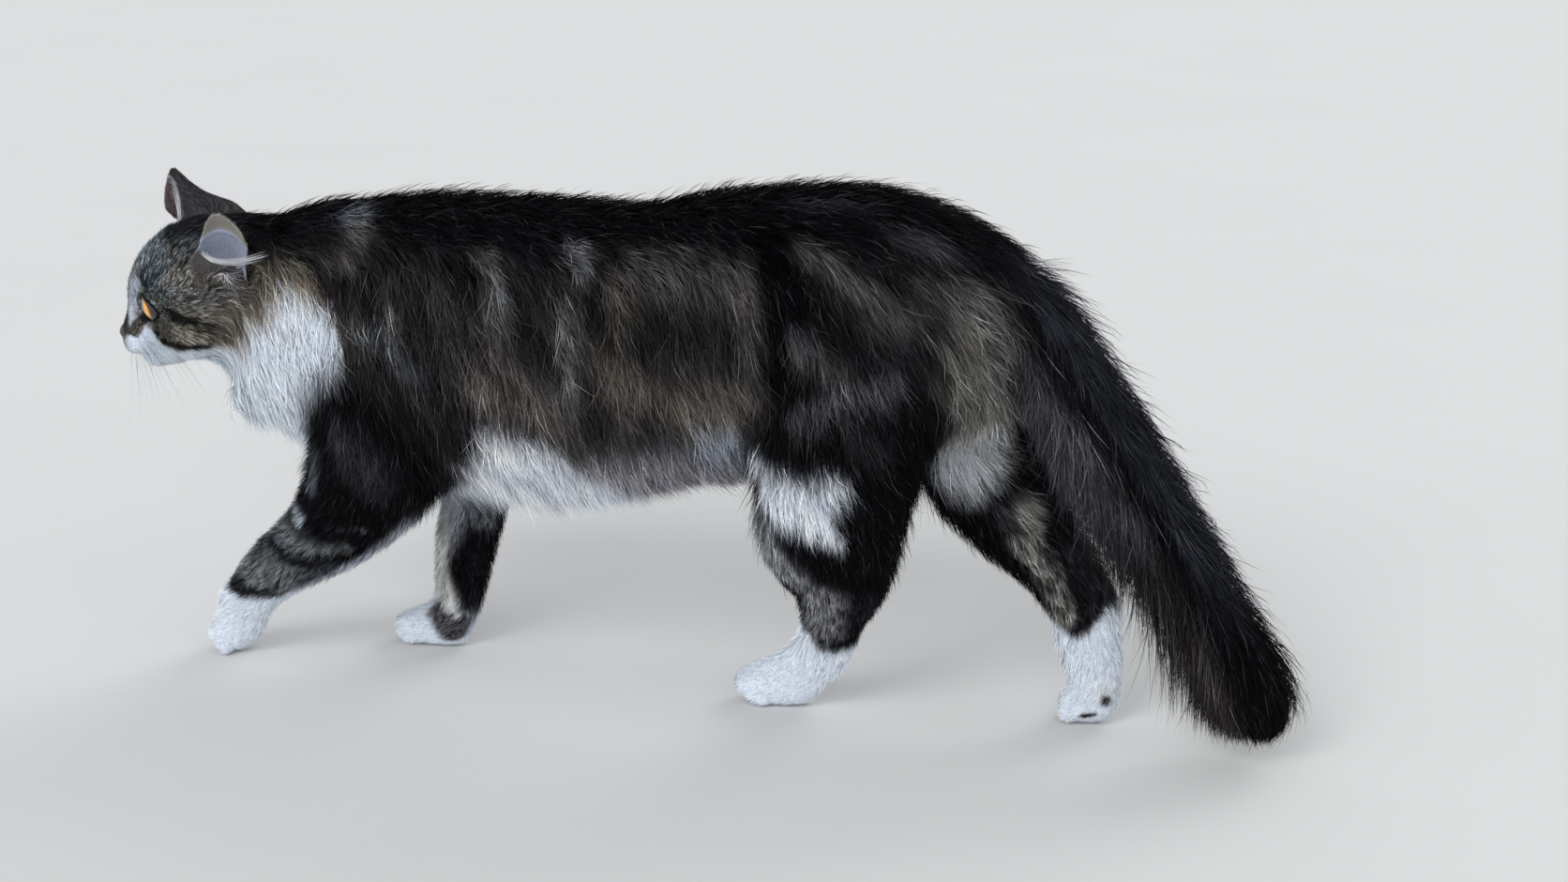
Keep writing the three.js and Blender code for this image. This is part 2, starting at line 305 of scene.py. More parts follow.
def lid_edge():
    """Directions along the rim of the eye's opening."""
    s = np.sin(np.linspace(-math.pi / 2, math.pi / 2, RIM_STEPS))
    along = np.where(s > 0, s * LID_OUT, s * LID_IN)
    upper, lower = lid_curves(s)
    rim = []
    for turn, rise in ((along, upper), (along, lower)):
        rim.append(np.stack([np.cos(turn) * np.cos(rise), np.sin(turn) * np.cos(rise), np.sin(rise)], axis=1))
    return np.concatenate(rim)


LID_RIM = lid_edge()


def lid_distance(h, side):
    """Distance outside the rim of the eye's opening along the ball, in mm, the angle over the corner line,
    the distance from the ball's middle, and how much of the direction from there is straight ahead."""
    d = (h - EYES[side]) @ eye_axes(side).T
    reach = np.linalg.norm(d, axis=1)
    d = d / reach[:, None]
    turn = np.arctan2(d[:, 1], d[:, 0])
    rise = np.arcsin(np.clip(d[:, 2], -1, 1))
    s = np.where(turn > 0, turn / LID_OUT, turn / LID_IN)
    upper, lower = lid_curves(np.clip(s, -1, 1))
    inside = (np.abs(s) < 1) & (rise < upper) & (rise > lower)
    gap = np.arccos(np.clip(d @ LID_RIM.T, -1, 1)).min(axis=1) * EYE_RADIUS
    return np.where(inside, -gap, gap), rise, reach, d[:, 0]


def set_lids(h, opened):
    """Brings the skin round each eye to the lids' level and, if opened, sinks it below the eyeball inside the
    rim. Also says how freely each point may be smoothed afterwards."""
    free = np.zeros(len(h))
    for side in (-1, 1):
        gap, rise, reach, ahead = lid_distance(h, side)
        close = (reach < EYE_RADIUS + 14) & (ahead > -0.6)
        lid = EYE_RADIUS + LID_RISE
        sunk = np.maximum(lid - reach, 0.0) * (1.0 - ramp(3.0, 15.0, gap))
        proud = np.maximum(reach - lid, 0.0) * (1.0 - ramp(0.8, 6.0, gap))
        level = reach + sunk - proud
        if opened:
            level = level - 0.6 * np.exp(-(((gap - 3.6) / 0.8) ** 2)) * ramp(0.0, 0.3, rise)
            level = mix(EYE_RADIUS - 2.4, level, ramp(-0.25, 0.45, gap))
        h = np.where(close[:, None], EYES[side] + (h - EYES[side]) / reach[:, None] * level[:, None], h)
        free = np.where(close, np.maximum(free, ramp(0.9, 3.0, gap) * (1.0 - ramp(10, 15, gap))), free)
    return h, free


# ---------------------------------------------------------------- the body under the coat

def cad_shape(name, grow):
    bm = bmesh.new()
    bm.from_mesh(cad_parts[name].data)
    bmesh.ops.remove_doubles(bm, verts=bm.verts, dist=1e-5)
    bmesh.ops.triangulate(bm, faces=bm.faces)
    bm.normal_update()
    for v in bm.verts:
        v.co += v.normal * (grow / MM)
    return read_mesh(mesh_from(bm, name))


# Growth of the solids so that they meet, size of the cells they are joined in, and how far and how softly
# each solid has a say in what lies round it, all in mm.
GROWTH, BODY_CELL, EAR_CELL = 0.45, 2.2, 1.1
SAY_LIMIT, SAY_SOFT = 30.0, 7.0
SKIN_TRIANGLES = 112000
shapes = {name: cad_shape(name, 0.0) for name in FLESH}
parts = [cad_shape(name, GROWTH) for name in [*FLESH, "eye_left", "eye_right", "nose_pad"]]


def ball(centre, reach):
    """A rounded plug in the head's frame."""
    bm = bmesh.new()
    bmesh.ops.create_icosphere(bm, subdivisions=3, radius=1.0)
    local = np.array([v.co[:] for v in bm.verts]) * reach + centre
    faces = np.array([[v.index for v in f.verts] for f in bm.faces])
    bm.free()
    return from_head(local), faces


points, triangles = largest_part(*remeshed(parts, BODY_CELL))
pairs = neighbours(triangles)
h = to_head(points)
on_face = 1.0 - ramp(50, 90, h[:, 0])
points = relaxed(points, pairs, 14, mix(0.5, 0.22, on_face))

# How much each CAD node has to say at each point.
share = np.zeros((len(points), len(FLESH)))
for k, name in enumerate(FLESH):
    gap = distances(points, *shapes[name], SAY_LIMIT)
    share[:, k] = [math.exp(-((g / SAY_SOFT) ** 2)) for g in gap.tolist()]
share /= np.maximum(share.sum(axis=1, keepdims=True), 1e-6)
share = relaxed(share, pairs, 10, 0.5)


def coat_depth(p, share, n):
    """How deep the skin lies under the tips of the coat."""
    h = to_head(p)
    part = {name: share[:, k] for k, name in enumerate(FLESH)}
    ruff = ramp(46, 68, h[:, 0]) * ramp(16, 34, np.abs(h[:, 1])) * ramp(30, 5, h[:, 2])
    ruff = np.maximum(ruff, ramp(30, 60, h[:, 0]) * ramp(-14, -26, h[:, 2]))
    head = 1.8 + 1.6 * ramp(34, 50, h[:, 0]) + 5.5 * ruff
    neck = mix(13.0, 9.0, ramp(-0.1, 0.8, n[:, 2]))
    trunk = mix(14.0, 9.0, ramp(0.0, 0.8, n[:, 2]))
    trunk = mix(trunk, 16.0, ramp(-0.2, -0.8, n[:, 2]))
    front = 4.2 + 4.5 * ramp(70, 150, p[:, 2])
    hind = 4.4 + 7.5 * ramp(70, 150, p[:, 2])
    paw = 0.4 + 2.4 * ramp(3.0, 9.0, p[:, 2] + 6.0 * (n[:, 2] > -0.5))
    tail = 8.0 + 7.0 * ramp(20, 75, p[:, 2])
    depth = head * part["head"] + neck * part["neck"] + trunk * part["trunk"] + tail * part["tail"]
    depth += front * (part["leg_front_left"] + part["leg_front_right"])
    depth += hind * (part["leg_hind_left"] + part["leg_hind_right"])
    return depth + paw * sum(part[name] for name in PAWS)


depth = relaxed(coat_depth(points, share, point_normals(points, triangles)), pairs, 12, 0.5)
STEPS = 8
for _ in range(STEPS):
    points = points - point_normals(points, triangles) * (depth / STEPS)[:, None]
    points = relaxed(points, pairs, 2, mix(np.clip(depth / 14.0, 0.08, 0.6), 0.04, on_face))
for _ in range(3):
    h, free = set_lids(to_head(points), False)
    points = relaxed(from_head(h), pairs, 3, 0.5 * free)


# ---------------------------------------------------------------- ears

# Where each ear stands in the head's frame: its foot, its tip and the way its opening faces.
EARS = {
    "ear_left": ((82.3, -33.7, 13.3), (99.6, -53.0, 63.8), (-0.07, -0.99, 0.11)),
    "ear_right": ((73.0, 22.8, 25.7), (58.6, 48.6, 72.1), (-0.67, 0.74, 0.05)),
}
EAR_THICK = 2.3
# How rounded each ear's tip is, and how wide its two sides are at stations up the ear.
EAR_STATIONS = [0.0, 0.2, 0.4, 0.6, 0.8, 1.0]
EAR_FORM = {
    "ear_left": (1.83, 0.49, [1.04, 1.05, 1.09, 0.76, 0.67, 0.73], [0.76, 0.66, 0.69, 0.91, 1.01, 0.96]),
    "ear_right": (1.5, 0.68, [1.39, 1.58, 1.42, 0.79, 0.45, 0.45], [0.95, 0.94, 0.84, 1.21, 1.12, 0.77]),
}


def ear_axes(foot, tip, facing):
    up = unit(np.subtract(tip, foot).astype(float))
    side = unit(np.cross(facing, up))
    return np.stack([np.cross(side, up), side, up])


def ear_shell(foot, tip, facing, fullness, point, one_side, other_side, rows=70, columns=64):
    """A cupped sheet with a rounded tip. Its foot runs down into the head."""
    height = np.linalg.norm(np.subtract(tip, foot))
    h = np.linspace(-0.16, 1.0, rows)[:, None]
    up = np.clip(h, 0.0, 1.0)
    wrap = 1.5 + (0.7 - 1.5) * up
    angle = np.linspace(-1.0, 1.0, columns)[None, :] * wrap
    taper = np.clip(1.0 - up**fullness, 0.0, 1.0) ** point
    swell = 0.72 + 0.6 * up - 0.3 * up * up
    radius = (20.0 * taper * swell + 2.0) / np.sin(wrap)
    back = 12.0 * (1.0 - up) - 2.0 * up
    edge = np.abs(np.linspace(-1.0, 1.0, columns))[None, :] ** 6
    fold = np.exp(-(((up - 0.66 - 0.1 * np.cos(1.3 * angle)) / 0.035) ** 2))
    one, other = (np.interp(up, EAR_STATIONS, wide) for wide in (one_side, other_side))
    sheets = []
    for inset in (0.0, EAR_THICK):
        x = radius * (np.cos(angle) - 1.0) + back - inset + 0.9 * edge * (1.0 - up)
        x = x - 0.7 * edge * (inset == 0.0) - 1.0 * (inset > 0) * fold
        y = (radius - inset * 0.7) * np.sin(angle) * (1.0 + 0.03 * edge)
        y = y * np.where(angle > 0, one, other)
        sheets.append(vectors(x, y, h * height).reshape(-1, 3))
    local = np.concatenate(sheets)
    shell = from_head(local @ ear_axes(foot, tip, facing) + np.array(foot, float))
    faces = []
    half = rows * columns
    for i in range(rows - 1):
        for j in range(columns - 1):
            a = i * columns + j
            faces.append((a, a + 1, a + columns + 1, a + columns))
            b = a + half
            faces.append((b, b + columns, b + columns + 1, b + 1))
        for j, flip in ((0, False), (columns - 1, True)):
            a = i * columns + j
            strip = (a, a + columns, a + columns + half, a + half)
            faces.append(strip[::-1] if flip else strip)
    for i, flip in ((0, True), (rows - 1, False)):
        for j in range(columns - 1):
            a = i * columns + j
            strip = (a, a + 1, a + 1 + half, a + half)
            faces.append(strip if flip else strip[::-1])
    quads = np.array(faces)
    return shell, np.concatenate([quads[:, [0, 1, 2]], quads[:, [0, 2, 3]]])


ears = {name: ear_shell(*spec, *EAR_FORM[name]) for name, spec in EARS.items()}
under_points, under_share, under_depth = points, share, depth
plugs = [ball((97, -23, 22), (20, 13, 18)), ball((60, 18, 27), (16, 14, 15))]
points, triangles = largest_part(*remeshed([(points, triangles), *plugs, *ears.values()], EAR_CELL))


# ---------------------------------------------------------------- fewer faces on the body, more on the face

def thinned(points, triangles, kept, wanted):
    """Collapses edges down to the wanted number of triangles, but not where kept."""
    me = mesh_of("dense", points, triangles)
    body = add_object("dense", me)
    group = body.vertex_groups.new(name="kept")
    group.add(np.nonzero(kept)[0].tolist(), 1.0, "REPLACE")
    change = body.modifiers.new("thin", "DECIMATE")
    change.ratio = wanted / len(triangles)
    change.vertex_group = "kept"
    change.invert_vertex_group = True
    return applied(body)


def halved(points, triangles, chosen):
    """Cuts the chosen triangles' edges in two."""
    bm = bmesh.new()
    bm.from_mesh(mesh_of("coarse", points, triangles))
    bm.faces.ensure_lookup_table()
    edges = {e for i in np.nonzero(chosen)[0] for e in bm.faces[i].edges}
    bmesh.ops.subdivide_edges(bm, edges=list(edges), cuts=1, use_grid_fill=True)
    bmesh.ops.triangulate(bm, faces=bm.faces)
    return read_mesh(mesh_from(bm, "fine"))


pairs = neighbours(triangles)
h = to_head(points)
on_head = (h[:, 0] < 56) & (np.abs(h[:, 1]) < 62) & (h[:, 2] > -44)
for foot, tip, facing in EARS.values():
    e = (h - foot) @ ear_axes(foot, tip, facing).T
    on_head |= (e[:, 2] > -4) & (np.abs(e[:, 1]) < 26) & (np.abs(e[:, 0]) < 24)
points = relaxed(points, pairs, 5, 0.45)
points, triangles = thinned(points, triangles, on_head, SKIN_TRIANGLES)
for reach in (9.0, 3.2):
    h = to_head(points[triangles].mean(axis=1))
    near_eye = np.min([np.abs(np.linalg.norm(h - c, axis=1) - EYE_RADIUS) for c in EYES.values()], axis=0)
    ahead = np.max([-(h - c)[:, 0] + np.sign(c[1]) * (h - c)[:, 1] for c in EYES.values()], axis=0)
    chosen = (near_eye < reach) & (ahead > -3) & (h[:, 0] < 46)
    if reach > 5:
        chosen |= (h[:, 0] < 34) & (h[:, 2] < 8) & (np.abs(h[:, 1]) < 26)
    points, triangles = halved(points, triangles, chosen)
pairs = neighbours(triangles)

# ---------------------------------------------------------------- the face

def to_line(h, line):
    """Distance to a polyline."""
    best = np.full(len(h), 1e9)
    for a, b in zip(line[:-1], line[1:]):
        a, b = np.asarray(a, float), np.asarray(b, float)
        ab = b - a
        t = np.clip(((h - a) @ ab) / max(ab @ ab, 1e-9), 0, 1)
        best = np.minimum(best, np.linalg.norm(h - a - t[:, None] * ab, axis=1))
    return best


def mouth_line(side):
    return np.array([
        (0.5, 0, -9), (2.0, 0, -13), (3.5, side * 1.5, -15.5), (8, side * 6, -17.5),
        (15, side * 11.5, -17.5), (23, side * 15.5, -15), (30, side * 18, -11),
    ])


h, free = set_lids(to_head(points), True)
h = relaxed(h, pairs, 8, 0.5 * free)
for side in (-1, 1):
    groove = np.exp(-((to_line(h, mouth_line(side)) / 0.9) ** 2)) * (h[:, 0] < 34)
    n = point_normals(from_head(h), triangles) @ HEAD_AXES.T
    h = h - n * (1.2 * groove)[:, None]
points = from_head(h)
normals = point_normals(points, triangles)


# ---------------------------------------------------------------- what lies where on the skin

tree = finder_of(under_points)
nearest = np.array([tree.find(p)[1] for p in points])
share = relaxed(under_share[nearest], pairs, 4, 0.5)
depth = relaxed(under_depth[nearest], pairs, 4, 0.5)
ear_share = {}
for name, (shell, shell_faces) in ears.items():
    amount = 1.0 - np.clip((distances(points, shell, shell_faces, 4.0) - 0.7) / 1.5, 0.0, 1.0)
    ear_share[name] = relaxed(amount, pairs, 3, 0.5)
share = np.column_stack([share * (1.0 - sum(ear_share.values()))[:, None], *ear_share.values()])
REGIONS = [*FLESH, *EARS]
AT = {name: k for k, name in enumerate(REGIONS)}


def ear_place(name, h):
    """A point in an ear's own frame, with its height as a share of the ear's."""
    foot, tip, facing = EARS[name]
    e = (h - foot) @ ear_axes(foot, tip, facing).T
    e[:, 2] /= np.linalg.norm(np.subtract(tip, foot))
    return e


# ---------------------------------------------------------------- the lower legs under the coat

# How far the front and the back of each lower leg and paw stand from the solid body, in mm, at these heights
# over the floor.
LEVELS = [2, 8, 15, 22, 30, 38, 46, 55, 65, 75, 90, 110]
SHINS = {
    "front_left": (
        [4.5, -1.5, -7.5, -13, -13, -8.5, -5, -6, -6.5, -6, -2, 0],
        [-13, -11, -8, -4, -1, -2, -5, -6, -6, -4, -2, 0],
    ),
    "front_right": (
        [-2, -4, -7, -8, -5, -5, -6, -6.5, -8, -8, -6, 0],
        [0, 1, 3, 3, 1, 2, 2, 2, 2, 2, 1, 0],
    ),
    "hind_left": (
        [0.5, -9, -12, -25, -16, -8, -6, -5, -4, -1, 2, 0],
        [-12, -9, -5, -1, -1, -2, -3, -4, -3, -1, 1, 0],
    ),
    "hind_right": (
        [5, 4, 4, 3, -1, -3, -4, -2, -2, -3, -4, 0],
        [0, 4, 6, 7, 6, 5, 4, 4, 4, 3, 2, 0],
    ),
}
for word, (front, back) in SHINS.items():
    here = np.clip(share[:, AT["leg_" + word]] + share[:, AT["paw_" + word]], 0, 1) * (points[:, 2] < 115)
    own = here > 0.5
    heights = np.arange(0, 116, 4.0)
    slices = [points[own & (np.abs(points[:, 2] - z) < 4), 0] for z in heights]
    ends = np.array([(x.min(), x.max()) for x in slices])
    nearest_end = np.interp(points[:, 2], heights, ends[:, 0])
    furthest_end = np.interp(points[:, 2], heights, ends[:, 1])
    t = np.clip((points[:, 0] - nearest_end) / (furthest_end - nearest_end), 0, 1)
    push = mix(np.interp(points[:, 2], LEVELS, front), np.interp(points[:, 2], LEVELS, back), t)
    points[:, 0] += push * here
# shallow gaps between the toes
TOES = {}
for name in PAWS:
    own = points[share[:, AT[name]] > 0.6]
    low, high = own[:, 1].min(), own[:, 1].max()
    TOES[name] = (own[:, 0].min(), (low + high) / 2, (high - low) / 4.2)


def toe_gaps(name, p):
    """How far each point lies in the gaps between a paw's toes."""
    front, middle, wide = TOES[name]
    gaps = sum(np.exp(-(((p[:, 1] - middle - k * wide) / 1.5) ** 2)) for k in (-1, 0, 1))
    return np.clip(gaps, 0, 1) * ramp(front + 15, front + 7, p[:, 0]) * ramp(18, 12, p[:, 2])


on_limb = np.clip(sum(share[:, AT[name]] for name in LEGS + PAWS), 0, 1)
points = relaxed(points, pairs, 2, 0.4 * ramp(110, 90, points[:, 2]) * on_limb)
normals = point_normals(points, triangles)
for name in PAWS:
    points -= normals * (2.2 * toe_gaps(name, points) * share[:, AT[name]])[:, None]
normals = point_normals(points, triangles)

# ---------------------------------------------------------------- the lie of the coat

# The run of each leg and of the tail, in mm.
LIMBS = {
    "leg_front_left": [(-165, -34, 190), (-178, -41, 132), (-204, -40, 94), (-233, -35, 67), (-273, -28, 29)],
    "leg_front_right": [(-162, 34, 190), (-146, 37, 132), (-146, 32, 95), (-151, 28, 65), (-157, 24, 24)],
    "leg_hind_left": [
        (126, -30, 235), (110, -38, 178), (99, -38, 132),
        (101, -20, 79), (91, -5, 38), (86, -3, 20),
    ],
    "leg_hind_right": [
        (138, 30, 235), (152, 37, 178), (168, 38, 138),
        (215, 31, 87), (233, 26, 42), (234, 26, 20),
    ],
    "tail": [(168, 0, 275), (194, 0, 244), (240, 2, 179), (287, 0, 107), (323, -4, 47), (330, -5, 10)],
}


def along(line, p):
    """The direction of a polyline near each point, softly."""
    total = np.zeros_like(p)
    for a, b in zip(line[:-1], line[1:]):
        a, b = np.array(a, float), np.array(b, float)
        t = np.clip(((p - a) @ (b - a)) / ((b - a) @ (b - a)), 0, 1)
        gap = np.linalg.norm(p - a - t[:, None] * (b - a), axis=1)
        total += unit(b - a) * np.exp(-((gap / 25.0) ** 2))[:, None]
    return unit(total + [0, 0, -1e-6])


def lie_of(p, n, share):
    h = to_head(p)
    head = h - [-6, 0, -3]
    head[:, 2] -= 0.45 * head[:, 0] * ramp(12, 30, np.abs(h[:, 1])) * ramp(30, 0, h[:, 2])
    for side in (-1, 1):
        away = h - EYES[side]
        near = np.exp(-((np.linalg.norm(away, axis=1) / 17.0) ** 2))
        head = unit(head) + unit(away) * (0.9 * near)[:, None]
    total = head_vector(unit(head)) * share[:, [AT["head"]]]
    side = np.sign(p[:, 1])
    top = ramp(0.25, 0.85, n[:, 2])
    under = ramp(-0.3, -0.8, n[:, 2])
    slope = np.interp(p[:, 2], [140, 180, 240, 285], [0.10, 0.20, 0.42, 0.75]) + 0.2 * ramp(90, 150, p[:, 0])
    flank = vectors(slope, 0.05 * side, -0.9)
    ridge = vectors(1.0, 0.35 * side * np.minimum(np.abs(p[:, 1]) / 20, 1), -0.1)
    belly = vectors(0.45, 0.15 * side, -0.9)
    trunk = mix(mix(flank, ridge, top), belly, under)
    trunk[:, 1] += 0.12 * noise(p, 45, 3)
    trunk[:, 0] += 0.22 * noise(p, 38, 4)
    total += unit(trunk) * share[:, [AT["trunk"]]]
    neck = mix(vectors(0.62, 0.1 * side, -0.78), ridge, top)
    neck = mix(neck, np.array([0.55, 0.0, -0.84]), ramp(0.0, -0.6, n[:, 2]))
    total += unit(neck) * share[:, [AT["neck"]]]
    for name in LEGS:
        line = along(LIMBS[name], p)
        back = ramp(80, 170, p[:, 2])
        line = unit(line + np.array([0.55, 0, -0.2]) * back[:, None])
        total += line * share[:, [AT[name]]]
    total += unit(along(LIMBS["tail"], p) + 0.25 * n) * share[:, [AT["tail"]]]
    for name in PAWS:
        total += unit(np.array([-0.93, 0.0, -0.36])) * share[:, [AT[name]]]
    for name in EARS:
        axes = ear_axes(*EARS[name])
        e = ear_place(name, h)
        local = vectors(0.0, 0.35 * np.sign(e[:, 1]), 1.0)
        total += head_vector(unit(local) @ axes) * share[:, [AT[name]]]
    total = total - (total * n).sum(axis=1, keepdims=True) * n
    return unit(total)


lie = lie_of(points, normals, share)
lie = relaxed(lie, pairs, 3, 0.5)
lie = unit(lie - (lie * normals).sum(axis=1, keepdims=True) * normals)

# ---------------------------------------------------------------- markings

# Colours of the coat as they look, 0 to 255.
DARK = (28, 27, 30)
WHITE = (208, 215, 226)


def plain(p, colour):
    return np.tile(np.array(colour, float), (len(p), 1))


def painted(colour, paint, amount):
    return mix(colour, np.array(paint, float), np.clip(amount, 0, 1))


def stroke(p, line, radius, soft=0.4):
    """How far each point is inside a rounded stroke along a polyline."""
    return 1.0 - ramp(1.0 - soft, 1.0 + soft, to_line(p, line) / radius)


def stroked(colour, p, marks):
    """Paints strokes one over another. Each is a polyline, a radius, a colour and a strength."""
    for line, radius, paint, amount, *soft in marks:
        colour = painted(colour, paint, amount * stroke(p, line, radius, *soft))
    return colour


def broken(p, amount, size, seed):
    """The points moved a little at random, so that the edges of marks run unevenly."""
    moved = p.copy()
    for k in range(3):
        moved[:, k] += amount * (0.7 * noise(p, size, seed + k) + 0.5 * noise(p, size * 0.35, seed + 10 + k))
    return moved


def strands(p, size, seed, stretch=0.2):
    """Noise drawn out along the lie of the flank's hair."""
    across = 0.86 * p[:, 0] + 0.5 * p[:, 2]
    down = 0.5 * p[:, 0] - 0.86 * p[:, 2]
    return noise(vectors(across, 0.6 * p[:, 1], stretch * down), size, seed)


def in_hollow(h):
    """How far each point lies in the bare hollow at the foot of the left ear."""
    foot, tip, facing = EARS["ear_left"]
    x, y, z = ((h - foot) @ ear_axes(foot, tip, facing).T).T
    return ramp(16, 12, np.abs(y)) * ramp(-15, -11, x) * ramp(12, 8, x) * ramp(7, 10, z) * ramp(31, 27, z)


def head_colour(p):
    h = to_head(p)
    m = broken(h, 1.3, 6.0, 20)
    x, y, z = m[:, 0], np.abs(m[:, 1]), m[:, 2]
    ticks = noise(h * [0.5, 1, 1], 1.6, 21)
    m = vectors(x + 2.2 * ticks, -y, z)
    colour = plain(p, (94, 91, 85))
    colour = painted(colour, (84, 92, 99), ramp(14, 25, z) * ramp(64, 46, x))
    colour = painted(colour, (58, 60, 62), ramp(24, 36, z) * ramp(46, 66, x))
    colour = stroked(colour, m, [
        ([(30, -30, 22), (40, -34, 16)], 6, (70, 76, 78), 0.7),
        # stripes over the brow and crown
        ([(24, -5, 26), (38, -6, 36), (60, -7, 44), (84, -8, 46)], 2.6, DARK, 0.9, 0.5),
        ([(26, -14, 27), (40, -17, 35), (62, -18, 41), (84, -18, 43)], 3.0, DARK, 0.9, 0.5),
        ([(31, -22, 27), (44, -25, 32), (60, -26, 37)], 2.6, (40, 44, 48), 0.8, 0.5),
        ([(26, -13, 31), (22, -8, 24)], 2.4, (38, 44, 50), 0.7, 0.5),
        ([(62, -4, 46), (84, -10, 46)], 13, (24, 25, 30), 0.9, 0.5),
        # pale band before the ear, dark behind it
        ([(48, -33, 28), (64, -35, 29), (80, -35, 27)], 5.5, (112, 110, 104), 0.85),
        ([(84, -38, 16), (92, -40, 8)], 5, (34, 33, 34), 0.7),
        ([(58, -38, 15), (78, -42, 13)], 6, (70, 74, 76), 0.7),
        # cheek
        ([(44, -38, -3), (62, -46, -12)], 6.5, (112, 109, 103), 0.85),
        ([(39, -32, 11.6), (47, -39, 7.3), (56, -44.5, 3.6), (64, -46, -3), (71, -45, -12), (74, -46, -18)],
         2.5, (18, 18, 19), 0.97, 0.3),
        ([(60, -45, -4), (72, -46, -16)], 5.0, (70, 66, 60), 0.7),
        ([(26, -24, 0), (28, -25, -8), (40, -41, -9), (52, -45, -14), (62, -45, -19)],
         2.4, (20, 20, 21), 0.97, 0.3),
        ([(66, -46, -20), (78, -46, -24)], 6.0, (78, 68, 54), 0.7),
    ])
    colour *= (1.0 + 0.22 * ticks)[:, None]
    # white bridge, muzzle, chin and jaw, with a wedge that rises under the eye
    bridge = [(3, -7, 4), (12, -10, 12), (20, -11, 19), (25, -10, 25)]
    white = 0.8 * stroke(m, bridge, 6.5, 0.4) * (0.5 + 0.5 * ramp(2.0, 6.0, y))
    edge = np.interp(x, [-5, 8, 13, 15, 18.7, 21, 23.2, 24.8, 26.5, 30, 45, 57, 69, 80, 100],
                     [1, 0, -3, -2.5, 0.5, 4.5, 8.5, -3, -9, -12, -14, -18.5, -22.5, -27, -29])
    white = np.maximum(white, ramp(1.4, -1.4, z - edge))
    cool = mix(np.array((200, 209, 222), float), np.array(WHITE, float), ramp(12, 30, x)[:, None])
    colour = painted(colour, cool, white)
    colour = stroked(colour, m, [
        # dark line from the eye's inner corner to the nose, and brown round the nose
        ([(27, -15, 10), (20, -12.5, 5), (13, -9.5, 0.5)], 2.1, (40, 46, 58), 0.95, 0.4),
        ([(30, -19, 6), (31, -24, -4)], 1.2, (30, 34, 38), 0.9, 0.5),
        ([(3, -2, 4.5), (8, -5, 6)], 4.8, (84, 78, 74), 0.88, 0.6),
        ([(3, -6.5, 0), (9, -9, 0.5)], 3.4, (80, 76, 74), 0.8, 0.7),
        ([(2, -6, -4), (4, -8.5, -8.5)], 5.6, (142, 139, 137), 0.75, 0.8),
        ([(7.5, -12.0, -12.4), (10.5, -13.5, -12.4)], 1.3, (60, 62, 68), 0.95, 0.4),
        ([(14, -14, -11), (20, -17, -9.5)], 0.7, (120, 126, 134), 0.7, 0.5),
    ])
    colour = painted(colour, (128, 122, 127), 0.9 * in_hollow(h))
    # lids: a dark rim in a pale ring
    for side in (-1, 1):
        gap, _, reach, ahead = lid_distance(h, side)
        ring = (ahead > -0.2) * (reach < EYE_RADIUS + 8)
        colour = painted(colour, (122, 122, 118), 0.55 * ring * ramp(1.2, 2.0, gap) * ramp(5.5, 3.0, gap))
        colour = painted(colour, (24, 22, 24), 0.95 * ring * ramp(2.1, 1.2, gap))
    return colour


